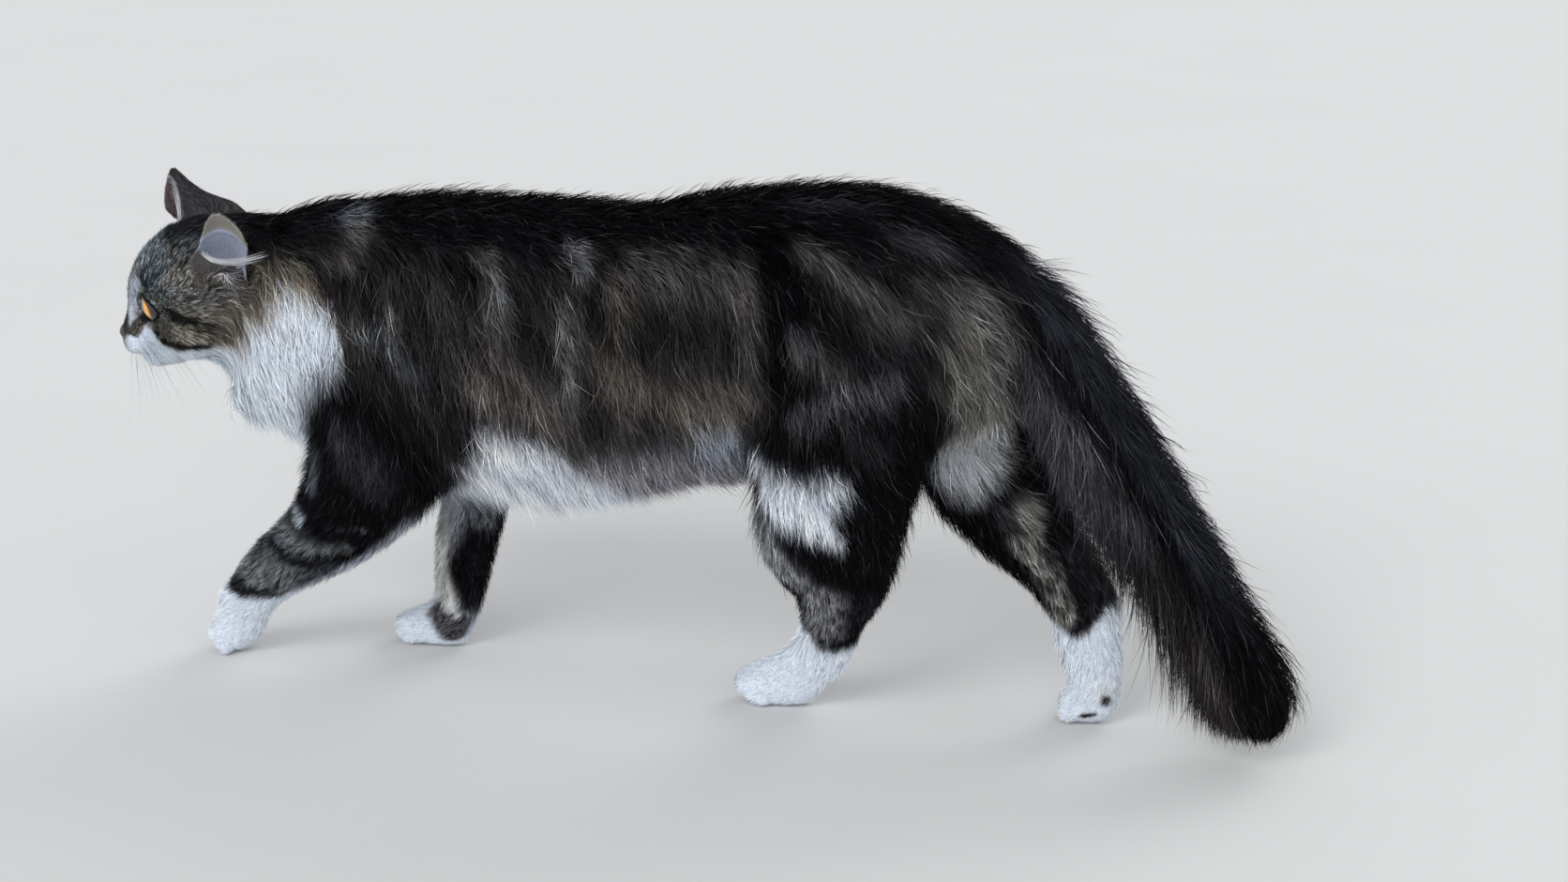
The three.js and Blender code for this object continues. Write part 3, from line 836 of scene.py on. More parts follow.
def torso_colour(p, n):
    """The neck and trunk. The right side is like the left, a little moved."""
    right = p[:, 1] > 0
    m = vectors(p[:, 0] + 9.0 * right, -np.abs(p[:, 1]), p[:, 2] + 3.0 * right)
    fine, broad = strands(p, 3.2, 44), strands(p, 9.0, 45, 0.3)
    m = broken(m, 4.0, 17.0, 41) + (6.0 * fine)[:, None] * [0.5, 0, -0.86]
    x, z = m[:, 0], m[:, 2]
    colour = plain(p, (19, 18, 20))
    colour = painted(colour, (40, 38, 38), ramp(-0.2, 0.5, broad) * ramp(262, 240, z))
    colour = painted(colour, (84, 80, 73), ramp(-212, -224, x) * ramp(258, 244, z))
    colour = stroked(colour, m, [
        ([(-222, -50, 244), (-212, -52, 228)], 11, (80, 77, 70), 0.8),
        ([(-196, -48, 250), (-200, -56, 232)], 10, (34, 32, 33), 0.8),
        # brown and grey over the ribs
        ([(-94, -50, 261), (-82, -68, 224), (-90, -67, 178)], 9, (60, 58, 56), 0.9, 0.6),
        ([(-118, -64, 232), (-110, -68, 205)], 9, (46, 44, 44), 0.8, 0.6),
        ([(-86, -68, 184), (-52, -68, 177)], 15, (72, 68, 66), 0.9, 0.6),
        ([(-42, -68, 228), (-38, -71, 186)], 9, (56, 55, 55), 0.8, 0.6),
        ([(0, -58, 257), (30, -61, 257), (58, -60, 258)], 15, (57, 55, 56), 0.95, 0.6),
        ([(-13, -63, 248), (-9, -71, 222), (-18, -73, 203)], 9, (56, 53, 49), 0.9, 0.6),
        ([(57, -60, 258), (67, -67, 231), (68, -64, 194)], 10, (56, 54, 53), 0.9, 0.6),
        ([(32, -66, 240), (37, -69, 214)], 13, (34, 32, 32), 0.85, 0.6),
        ([(-7, -72, 198), (34, -63, 181), (62, -60, 182)], 15, (74, 70, 65), 0.95, 0.6),
        ([(-30, -70, 200), (-24, -70, 178)], 7, (36, 34, 36), 0.8, 0.6),
        # light streaks
        ([(-206, 0, 279), (-200, -14, 276), (-186, -30, 272)], 9, (104, 112, 124), 0.9, 0.5),
        ([(-183, -33, 270), (-180, -48, 250)], 9, (66, 64, 62), 0.9, 0.5),
        ([(-132, -18, 285), (-136, -38, 273)], 6, (108, 114, 122), 0.9, 0.5),
        ([(-106, -16, 287), (-92, -2, 289)], 6, (74, 78, 86), 0.7, 0.6),
        ([(-172, -63, 203), (-162, -63, 211), (-152, -63, 214)], 3.6, (112, 118, 122), 0.9, 0.5),
        ([(-148, -66, 200), (-133, -66, 191)], 5, (76, 84, 90), 0.8, 0.6),
        ([(-92, -55, 252), (-80, -66, 232)], 4.5, (84, 88, 92), 0.7, 0.6),
        ([(-44, -38, 276), (-38, -58, 254)], 7, (112, 114, 116), 0.85, 0.6),
        ([(-43, -66, 238), (-39, -71, 212), (-38, -71, 184)], 4.0, (84, 85, 86), 0.9, 0.4),
        ([(-40, -30, 281), (6, -34, 285)], 3, (66, 68, 74), 0.6, 0.6),
    ])
    # black saddle along the back, coming down as a band before the hip
    top = np.interp(x, [-300, -230, -205, -186, -178, -150, -92, -52, -10, 60, 100, 170, 210],
                    [254, 258, 270, 284, 276, 267, 263, 268, 273, 274, 280, 268, 258])
    colour = painted(colour, (8, 7, 10), 0.98 * ramp(-4, 5, z - top) * (1 - 0.2 * ramp(0.3, 0.8, fine)))
    colour = stroked(colour, m, [
        ([(-110, -40, 268), (-64, -46, 262)], 9, (12, 11, 14), 0.95, 0.4),
        ([(70, -46, 279), (80, -58, 262), (84, -66, 238), (80, -66, 206)], 13, (3, 3, 5), 1.0, 0.3),
        # grey swirls over the hip with black between
        ([(90, -52, 274), (114, -59, 261), (134, -60, 250), (152, -58, 231)], 8.0, (54, 53, 54), 0.97, 0.35),
        ([(92, -66, 222), (111, -65, 212)], 8.0, (62, 63, 64), 0.97, 0.35),
        ([(100, -62, 240), (118, -64, 222), (160, -55, 224)], 7, (10, 9, 11), 0.95, 0.3),
        ([(88, -67, 184), (117, -69, 196), (143, -62, 206)], 6.0, (66, 67, 69), 0.95, 0.35),
        ([(100, -66, 178), (128, -66, 184), (150, -58, 190)], 7.5, (9, 8, 10), 0.97, 0.3),
        ([(152, -56, 248), (170, -44, 258)], 8, (58, 56, 54), 0.8, 0.6),
        ([(139, -41, 282), (164, -36, 275)], 7, (58, 58, 60), 0.75, 0.7),
        ([(73, -29, 297), (116, -28, 298)], 4, (56, 56, 62), 0.7, 0.7),
        # pale buttock
        ([(184, -41, 244), (191, -38, 216), (178, -31, 186)], 17, (80, 80, 78), 0.95, 0.5),
        ([(152, -8, 176), (182, -8, 182)], 20, (104, 103, 99), 0.95, 0.5),
        ([(172, -48, 216), (170, -44, 200)], 11, (76, 75, 71), 0.85, 0.5),
        ([(178, -46, 236), (180, -44, 222)], 4, (62, 58, 54), 0.7, 0.6),
        ([(206, -18, 262), (216, -14, 226)], 12, (16, 15, 18), 0.95, 0.4),
    ])
    # belly: a grey fringe with pale tips, bright white in front
    low = np.interp(x, [-70, -40, -20, 30, 48, 60, 110], [148, 153, 152, 160, 166, 162, 158])
    fringe = ramp(8.0, -8.0, z - low + 9.0 * broad) * ramp(-72, -52, x) * (1 - 0.55 * ramp(-0.1, 0.5, fine))
    colour = painted(colour, (122, 122, 128), fringe)
    colour = stroked(colour, m, [([(40, -48, 158), (50, -52, 164)], 12, (138, 144, 156), 0.9, 0.5)])
    low = np.interp(x, [-142, -118, -98, -75, -60, -50, -42, -30, 0],
                    [100, 130, 159, 157, 151, 146, 138, 128, 100])
    bright = ramp(3.5, -3.5, z - low + 3.0 * broad) * (1 - 0.3 * ramp(-70, -45, x) * ramp(0.0, 0.5, fine))
    colour = painted(colour, (212, 218, 228), bright)
    # white ruff, throat and chest
    rise = np.interp(x, [-300, -262, -246, -233, -222, -195, -185, -180],
                     [182, 193, 208, 222, 231, 223, 212, 200])
    back = np.interp(z, [120, 150, 160, 175, 190, 204, 215, 232],
                     [-212, -216, -206, -193, -184, -180, -185, -205])
    bib = ramp(3.5, -3.5, z - rise + 2.5 * fine) * ramp(3, -3, x - back + 2.0 * fine)
    chest = ramp(-0.15, -0.5, n[:, 2]) * ramp(30, 20, np.abs(p[:, 1])) * ramp(-80, -110, x)
    border = 0.75 * ramp(10, 2, z - rise) * ramp(-2, 4, z - rise) * ramp(-182, -196, x) * ramp(-270, -250, x)
    colour = painted(colour, (112, 98, 80), border)
    colour = colour * (1.0 + 0.30 * fine + 0.12 * broad)[:, None]
    return painted(colour, WHITE, np.maximum(bib, chest))


def limb_point(p, middle):
    """Folds a leg's two sides together, onto its left side."""
    m = p.copy()
    m[:, 1] = middle - np.abs(p[:, 1] - middle)
    return broken(m, 1.6, 9.0, 71)


def leg_colour(name, p, n):
    fine = noise(p * [1, 1, 0.35], 3.0, 79)
    colour = plain(p, (8, 8, 10))
    if name == "leg_front_left":
        m = limb_point(p, -38)
        marks = [
            ([(-182, -66, 148), (-163, -66, 128)], 13, (38, 38, 42), 0.8, 0.6),
            ([(-206, -60, 138), (-210, -62, 116)], 5, (84, 88, 96), 0.8, 0.6),
            ([(-240, -50, 84), (-216, -57, 72)], 17, (66, 69, 74), 0.9, 0.5),
            ([(-262, -42, 60), (-238, -50, 56)], 15, (88, 92, 94), 0.95, 0.5),
            ([(-226, -56, 104), (-219, -58, 98)], 5, (130, 138, 148), 0.9, 0.4),
            ([(-199, -64, 97), (-187, -62, 95), (-175, -60, 94)], 1.6, (84, 88, 94), 0.8, 0.4),
            ([(-235, -54, 93), (-223, -56, 83), (-206, -58, 79), (-190, -58, 82)],
             5.2, (84, 86, 87), 0.6 + 0.3 * ramp(-0.3, 0.2, fine), 0.6),
            ([(-214, -62, 112), (-202, -64, 97), (-187, -62, 89), (-167, -56, 86)],
             4.6, (10, 10, 13), 0.97, 0.3),
            ([(-244, -50, 82), (-233, -54, 73), (-218, -56, 69), (-200, -56, 73)],
             3.8, (18, 19, 23), 0.97, 0.3),
            ([(-230, -54, 85), (-214, -56, 77)], 1.3, (40, 42, 46), 0.8, 0.4),
            ([(-222, -55, 62), (-205, -54, 65)], 2.4, (34, 36, 42), 0.85, 0.35),
            ([(-278, -40, 52), (-266, -48, 47), (-252, -48, 45)], 3.2, (34, 36, 40), 0.95, 0.3),
        ]
        edge = np.interp(m[:, 0], [-292, -282, -268, -243, -237, -228], [48, 45, 40.5, 40.5, 44, 48])
        white = ramp(2.5, -2.5, m[:, 2] - edge)
    elif name == "leg_front_right":
        m = limb_point(p, 30)
        marks = [
            ([(-158, 16, 150), (-160, 14, 110), (-164, 14, 80)], 18, (152, 156, 164), 0.97, 0.5),
            ([(-134, 14, 112), (-134, 14, 84)], 12, (84, 86, 92), 0.9, 0.5),
            ([(-152, 10, 132), (-130, 12, 128)], 8, (40, 40, 46), 0.85, 0.6),
            ([(-140, 14, 70), (-142, 16, 28)], 9.0, (14, 12, 16), 0.97, 0.4),
            ([(-125, 14, 72), (-128, 15, 50)], 4.5, (84, 86, 92), 0.85, 0.6),
            ([(-172, 18, 86), (-170, 14, 50), (-164, 11, 28)], 11.5, (196, 197, 196), 0.97, 0.4),
            ([(-168, 12, 22), (-160, 12, 12), (-150, 14, 12)], 7.0, (64, 62, 66), 0.92, 0.4),
        ]
        white = np.maximum(ramp(2.5, -2.5, m[:, 0] + 172) * ramp(38, 33, m[:, 2]), ramp(9, 6, m[:, 2]))
    elif name == "leg_hind_left":
        m = limb_point(p, -28)
        marks = [
            ([(88, -67, 184), (117, -69, 196), (143, -62, 206)], 6.0, (66, 67, 69), 0.95, 0.35),
            ([(118, -64, 217), (160, -55, 225)], 9, (25, 23, 27), 0.9, 0.5),
            ([(92, -66, 222), (111, -65, 212)], 8.5, (66, 67, 68), 0.9, 0.5),
            ([(124, -68, 176), (136, -66, 170)], 7, (42, 41, 44), 0.7, 0.6),
            ([(62, -50, 124), (66, -50, 104), (80, -50, 86)],
             12, (124, 126, 130), 0.5 + 0.5 * ramp(-0.2, 0.4, fine), 0.6),
            ([(96, -40, 74), (92, -32, 62), (88, -26, 50)], 14, (98, 99, 102), 0.95, 0.5),
            ([(122, -34, 78), (116, -30, 62), (107, -20, 44)], 6.0, (20, 19, 23), 0.95, 0.4),
            ([(60, -56, 153), (74, -64, 147), (92, -68, 142), (114, -69, 148)], 7.5, WHITE, 1.0, 0.3),
            ([(72, -62, 139), (84, -64, 128), (98, -65, 124)], 8.0, WHITE, 1.0, 0.3),
            ([(82, -64, 138), (96, -68, 139), (104, -67, 138)], 9.5, WHITE, 1.0, 0.3),
            ([(99, -66, 130), (109, -63, 117)], 7.0, WHITE, 1.0, 0.3),
            ([(78, -66, 158), (88, -70, 156)], 5.0, (20, 19, 22), 0.95, 0.5),
        ]
        edge = np.interp(m[:, 0], [70, 80, 86, 95, 110], [58, 50, 40, 38, 42])
        white = ramp(2.0, -2.0, m[:, 2] - edge)
    else:
        m = limb_point(p, 30)
        marks = [
            ([(180, 9, 190), (178, 9, 172), (178, 8, 154)], 13, (104, 103, 100), 0.9, 0.6),
            ([(164, 8, 166), (160, 10, 144)], 20, (214, 219, 226), 0.98, 0.4),
            ([(164, 8, 166), (160, 10, 144)], 20, (92, 92, 92), 0.7 * ramp(0.12, 0.4, fine), 0.6),
            ([(176, 9, 168), (170, 8, 156)], 6, (136, 138, 138), 0.8, 0.6),
            ([(186, 14, 118), (198, 13, 96)], 6, (126, 128, 130), 0.7 + 0.3 * fine, 0.5),
            ([(200, 14, 122), (197, 13, 104), (209, 12, 88), (218, 14, 64)], 9.5, (114, 114, 110), 0.95, 0.4),
            ([(200, 14, 122), (197, 13, 104), (209, 12, 88), (218, 14, 64)],
             9.5, (30, 29, 32), 0.75 * ramp(0.15, 0.5, fine), 0.5),
            ([(183, 11, 117), (190, 12, 112)], 5.5, (28, 26, 29), 0.9, 0.5),
            ([(206, 13, 101), (212, 13, 96)], 4.0, (34, 32, 34), 0.85, 0.5),
            ([(214, 13, 83), (210, 13, 78)], 3.4, (48, 46, 46), 0.8, 0.5),
            ([(226, 16, 104), (234, 17, 84), (242, 18, 68), (234, 12, 58)], 8.5, (24, 22, 26), 0.97, 0.35),
        ]
        edge = np.interp(m[:, 0], [205, 214, 226, 234, 244, 252], [60, 57, 51, 56, 68, 74])
        white = ramp(2.0, -2.0, m[:, 2] - edge)
    colour = stroked(colour, m + (2.4 * fine)[:, None] * [0, 0, 1], marks) * (1.0 + 0.25 * fine)[:, None]
    if name == "leg_front_left":
        rear = ramp(0.72, 0.93, n @ unit(np.array([0.62, 0.0, -0.78])))
        rear = rear * ramp(112, 92, p[:, 2]) * ramp(30, 40, p[:, 2])
        colour = painted(colour, (152, 156, 166), 0.85 * rear)
    return painted(colour, WHITE, white)


def paw_colour(name, p):
    colour = plain(p, WHITE)
    # painted shade: bluish grey in the gaps between the toes
    colour = painted(colour, (150, 156, 168), 0.75 * toe_gaps(name, p))
    if name == "paw_front_right":
        m = limb_point(p, 26)
        colour = stroked(colour, m, [
            ([(-168, 12, 24), (-160, 12, 13), (-150, 13, 13)], 7.5, (62, 60, 64), 0.95, 0.4),
        ])
    if name == "paw_hind_right":
        colour = stroked(colour, p, [
            ([(244, 18, 46), (245, 18, 26)], 8, (206, 203, 200), 0.7, 0.5),
            ([(245, 15, 16.5), (247, 20, 15)], 3.0, (34, 32, 34), 0.97, 0.3),
            ([(233, 13.5, 6.5), (239, 14.5, 7.5)], 1.5, (34, 32, 34), 0.97, 0.3),
        ])
    return colour


def tail_colour(p):
    across = p[:, 0] * 0.82 + p[:, 2] * 0.57
    down = p[:, 2] * 0.82 - p[:, 0] * 0.57
    fine = noise(vectors(across, p[:, 1], 0.12 * down), 2.6, 81)
    colour = plain(p, (7, 7, 9))
    line = np.array(LIMBS["tail"], float)
    over = p[:, 2] - np.interp(p[:, 0], line[:, 0], line[:, 2])
    colour = painted(colour, (52, 50, 54), 0.8 * ramp(5, -18, over) * ramp(80, 130, p[:, 2]))
    colour = painted(colour, (48, 42, 40), 0.6 * ramp(0, -14, over) * ramp(130, 60, p[:, 2]))
    # painted sheen: a lighter blue-grey along the top edge of the upper tail
    colour = painted(colour, (34, 36, 42), 0.7 * ramp(8, 16, over) * ramp(70, 110, p[:, 2]))
    colour = painted(colour, (70, 72, 80), 0.7 * ramp(0.35, 0.6, fine) * ramp(10, -14, over))
    return colour * (1.0 + 0.35 * fine)[:, None]


def ear_colour(name, p, n):
    h = to_head(p)
    e = ear_place(name, h)
    inside = ramp(0.1, -0.3, n @ head_vector(ear_axes(*EARS[name])[0]))
    outer = plain(p, (44, 43, 46))
    outer = painted(outer, (66, 64, 62), 0.6 * ramp(0.5, 0.1, e[:, 2]))
    fold = 0.66 + 0.10 * np.cos(e[:, 1] / 9.0)
    inner = plain(p, (143, 149, 167))
    inner = painted(inner, (134, 130, 138), ramp(0.34, 0.1, e[:, 2]))
    inner = painted(inner, (176, 182, 198), 0.6 * np.exp(-(((e[:, 2] - fold) / 0.03) ** 2)))
    inner = painted(inner, (130, 128, 122), ramp(0.0, 0.05, e[:, 2] - fold))
    if name == "ear_left":
        disc = np.sqrt(((e[:, 1] + 1.5) / 13.0) ** 2 + ((e[:, 2] - 0.5) / 0.30) ** 2)
        shaded = ramp(0.95, 1.2, disc) * ramp(0.62, 0.5, e[:, 2]) * ramp(-1, 5, e[:, 1])
        inner = painted(inner, (100, 97, 95), shaded)
        inner = painted(inner, (90, 86, 84), ramp(0.26, 0.16, e[:, 2]) * ramp(-4, -9, e[:, 1]))
    else:
        # the right ear's front edge, with its pale line of hair
        line = e[:, 1] - np.interp(e[:, 2], [0.40, 0.50, 0.66, 0.86], [-15.0, -12.9, -9.9, -5.7])
        outer = painted(outer, (64, 54, 56), 0.85 * ramp(0.5, -2.0, line))
        pale = 0.85 * np.exp(-((line / 0.8) ** 2)) * ramp(0.34, 0.42, e[:, 2]) * ramp(0.96, 0.88, e[:, 2])
        outer = painted(outer, (140, 142, 150), pale)
    return mix(outer, inner, inside)


def coat_colour(p, n, share):
    """The markings, as colours from 0 to 255, at points of the coat's outside."""
    total = np.zeros((len(p), 3))
    whole = np.zeros(len(p))
    jobs = {
        "head": lambda i: head_colour(p[i]),
        "tail": lambda i: tail_colour(p[i]),
        "trunk": lambda i: torso_colour(p[i], n[i]),
        "neck": lambda i: torso_colour(p[i], n[i]),
    }
    for name in LEGS:
        jobs[name] = lambda i, name=name: leg_colour(name, p[i], n[i])
    for name in PAWS:
        jobs[name] = lambda i, name=name: paw_colour(name, p[i])
    for name in EARS:
        jobs[name] = lambda i, name=name: ear_colour(name, p[i], n[i])
    for name, job in jobs.items():
        i = np.nonzero(share[:, AT[name]] > 0.02)[0]
        if len(i):
            amount = share[i, AT[name]] ** 2
            total[i] += job(i) * amount[:, None]
            whole[i] += amount
    return total / np.maximum(whole, 1e-6)[:, None]


def linear(colour):
    c = np.clip(colour / 255.0, 0, 1)
    return np.where(c <= 0.04045, c / 12.92, ((c + 0.055) / 1.055) ** 2.4)


# ---------------------------------------------------------------- the skin's own piece

def node_tree(name):
    material = bpy.data.materials.new(name)
    material.use_nodes = True
    tree = material.node_tree
    return material, tree, tree.nodes["Principled BSDF"]


def mixed(tree, kind, fac, a, b):
    """A colour mix node. fac, a and b are sockets or values."""
    made = tree.nodes.new("ShaderNodeMix")
    made.data_type = "RGBA"
    made.blend_type = kind
    for socket, value in ((made.inputs[0], fac), (made.inputs[6], a), (made.inputs[7], b)):
        if isinstance(value, bpy.types.NodeSocket):
            tree.links.new(value, socket)
        else:
            socket.default_value = value
    return made.outputs[2]


def noise_node(tree, scale, detail=3.0):
    place = tree.nodes.new("ShaderNodeTexCoord")
    made = tree.nodes.new("ShaderNodeTexNoise")
    made.inputs["Scale"].default_value = scale
    made.inputs["Detail"].default_value = detail
    tree.links.new(place.outputs["Object"], made.inputs["Vector"])
    return made.outputs["Fac"]


def bumped(tree, shader, height, strength, distance):
    made = tree.nodes.new("ShaderNodeBump")
    made.inputs["Strength"].default_value = strength
    made.inputs["Distance"].default_value = distance
    tree.links.new(height, made.inputs["Height"])
    tree.links.new(made.outputs["Normal"], shader.inputs["Normal"])


def fitted(tree, value, low, high, new_low, new_high):
    made = tree.nodes.new("ShaderNodeMapRange")
    for k, number in zip((1, 2, 3, 4), (low, high, new_low, new_high)):
        made.inputs[k].default_value = number
    tree.links.new(value, made.inputs[0])
    return made.outputs[0]


def toned_material(name, scale, dark, light, rough):
    """Noise between a darker and a lighter tone."""
    material, tree, shader = node_tree(name)
    tone = mixed(tree, "MIX", noise_node(tree, scale), (*dark, 1), (*light, 1))
    tree.links.new(tone, shader.inputs["Base Color"])
    shader.inputs["Roughness"].default_value = rough
    return material


def fur_material(name, rough, bump):
    """Short soft hair: the colour at each point comes with the mesh, broken up by fine noise."""
    material, tree, shader = node_tree(name)
    paint = tree.nodes.new("ShaderNodeAttribute")
    paint.attribute_name = "Coat"
    grain = fitted(tree, noise_node(tree, 900.0), 0.3, 0.7, 0.82, 1.18)
    joined = tree.nodes.new("ShaderNodeVectorMath")
    joined.operation = "SCALE"
    tree.links.new(paint.outputs["Color"], joined.inputs[0])
    tree.links.new(grain, joined.inputs["Scale"])
    tree.links.new(joined.outputs[0], shader.inputs["Base Color"])
    shader.inputs["Roughness"].default_value = rough
    shader.inputs["Specular IOR Level"].default_value = 0.03
    if bump:
        bumped(tree, shader, noise_node(tree, 700.0), bump, 0.0006)
    return material


def set_colours(me, colours):
    layer = me.color_attributes.new("Coat", "FLOAT_COLOR", "POINT")
    rgba = np.ones((len(me.vertices), 4), np.float32)
    rgba[:, :3] = colours
    layer.data.foreach_set("color", rgba.ravel())


ear_part = np.clip(share[:, AT["ear_left"]] + share[:, AT["ear_right"]], 0, 1)
outer_depth = mix(depth, 0.8, ear_part)
skin_colour = coat_colour(points + normals * outer_depth[:, None], normals, share)
# painted shade: under a dark coat the skin takes 0.55 of the coat's colour, for the shade between the hairs;
# under pale coat and on the ears it keeps the full colour
full = np.maximum(ear_part, ramp(110, 180, skin_colour.mean(axis=1)))
skin_mesh = mesh_of("skin", points, triangles)
set_colours(skin_mesh, linear(skin_colour * mix(0.55, 1.0, full)[:, None]))
skin = add_object("skin", skin_mesh, fur_material("skin_fur", 0.8, 0.35))
bpy.context.view_layer.objects.active = skin
skin.select_set(True)
bpy.ops.object.mode_set(mode="EDIT")
bpy.ops.mesh.select_all(action="SELECT")
bpy.ops.uv.smart_project(angle_limit=math.radians(66), island_margin=0.003)
bpy.ops.object.mode_set(mode="OBJECT")
skin.select_set(False)
skin.data.uv_layers[0].name = "OFBake"
skin_uv = np.zeros(len(skin.data.loops) * 2, np.float32)
skin.data.uv_layers[0].data.foreach_get("uv", skin_uv)
skin_uv = skin_uv.reshape(-1, 3, 2)
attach(skin, "root")
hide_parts(*FLESH, "ear_left", "ear_right")

# ---------------------------------------------------------------- tufts

skin_tree = BVHTree.FromPolygons(points.tolist(), triangles.tolist())


def hair_fields(p, n, share, depth):
    """The hairs at points of the skin: their length, height over the skin, width, gathering into locks,
    standing out and hanging."""
    h = to_head(p)
    s = {name: share[:, AT[name]] for name in REGIONS}
    cheek = ramp(58, 82, h[:, 0]) * ramp(16, 34, np.abs(h[:, 1])) * ramp(34, 0, h[:, 2])
    cheek = np.maximum(cheek, ramp(52, 74, h[:, 0]) * ramp(-16, -28, h[:, 2]))
    brow = ramp(14, 24, h[:, 2]) * ramp(58, 40, h[:, 0])
    near_eye = np.min([np.linalg.norm(h - c, axis=1) for c in EYES.values()], axis=0)
    jaw = ramp(8, 22, h[:, 0]) * ramp(-8, -16, h[:, 2])
    rump = np.exp(-(((p[:, 0] - 192) / 20) ** 2 + ((p[:, 2] - 262) / 18) ** 2))
    rump = rump * ramp(30, 12, np.abs(p[:, 1]))
    head = 4.9 + 1.9 * ramp(44, 70, h[:, 0]) - 3.4 * ramp(26, 6, h[:, 0])
    head = head + 14.0 * cheek + 2.5 * brow + 4.0 * jaw
    head = head * mix(0.45, 1.0, ramp(EYE_RADIUS + 1.0, EYE_RADIUS + 9.0, near_eye))
    top = ramp(0.2, 0.8, n[:, 2])
    under = ramp(-0.1, -0.7, n[:, 2])
    ragged = 0.5 + 0.5 * noise(p, 11.0, 91)
    trunk = 35.0 - 7.0 * top - 6.0 * under + 12.0 * under * ragged
    front = 8.0 + 16.0 * ramp(95, 165, p[:, 2])
    front = front + 6.0 * s["leg_front_left"] * ramp(0.2, 0.8, n[:, 0]) * ramp(45, 60, p[:, 2])
    hind = 9.0 + 19.0 * ramp(80, 170, p[:, 2]) + 9.0 * ramp(0.3, 0.9, np.abs(n[:, 0])) * ramp(58, 84, p[:, 2])
    low_tail = ramp(0.3, -0.5, n[:, 2])
    tail = 44.0 + (66.0 * ragged**1.2 + 22.0 * np.exp(-(((p[:, 2] - 115) / 45) ** 2))) * low_tail
    length = head * s["head"] + trunk * s["trunk"] + 36.0 * s["neck"] + tail * s["tail"]
    fore = front * (s["leg_front_left"] + s["leg_front_right"])
    length += fore + hind * (s["leg_hind_left"] + s["leg_hind_right"])
    length += 3.6 * sum(s[name] for name in PAWS) + 3.2 * s["ear_left"] + 7.5 * s["ear_right"]
    width = np.interp(length, [2, 5, 10, 20, 36, 46], [0.22, 0.28, 0.38, 0.48, 0.56, 0.58])
    width = width * (1 - 0.33 * s["head"])
    locks = np.interp(length, [4, 12, 36], [0.15, 0.45, 0.8])
    body = s["trunk"] + s["neck"]
    standing = 0.06 + mix(0.72, 0.45, ramp(-50, 10, p[:, 0])) * under * body
    standing = standing + (0.08 + 0.80 * low_tail) * s["tail"]
    standing = standing + (0.55 * brow + 0.3 * jaw) * s["head"] + 0.5 * rump
    standing = standing + 0.4 * body * ramp(-0.3, -0.7, n[:, 0]) * ramp(230, 190, p[:, 2])
    standing = standing + 0.25 * cheek * s["head"]
    standing = standing + 0.24 * ramp(0.3, 0.9, np.abs(n[:, 0])) * sum(s[name] for name in LEGS)
    hang = 0.55 * under * body + (0.1 + 1.3 * low_tail) * s["tail"] + (0.35 * cheek + 0.4 * jaw) * s["head"]
    ear = np.clip(s["ear_left"] + s["ear_right"], 0, 1)
    height = np.minimum(mix(depth, 0.7, ear), length * mix(0.40, 0.75, brow * s["head"])) + 9.0 * rump
    return length, height, width, locks, np.clip(standing, 0, 0.9), hang


def nearest_on_skin(p):
    """The closest point of the skin to each point, and the triangle it is on."""
    place = np.empty_like(p)
    face = np.empty(len(p), np.int64)
    for i, q in enumerate(p):
        found = skin_tree.find_nearest(q)
        place[i] = found[0]
        face[i] = found[2]
    return place, face


def face_mean(values, face):
    return values[triangles[face]].mean(axis=1)


# Width of a hair at its stations, for hairs of three and of four segments.
HAIR_SHAPE = {3: np.array([0.85, 1.0, 0.75, 0.0]), 4: np.array([0.75, 1.0, 0.95, 0.62, 0.0])}


# The shares of a hair's length at which it takes the colours of the markings, and the share of stray hairs.
TINT_LOW, TINT_HIGH = 0.45, 0.88
STRAYS = 0.13


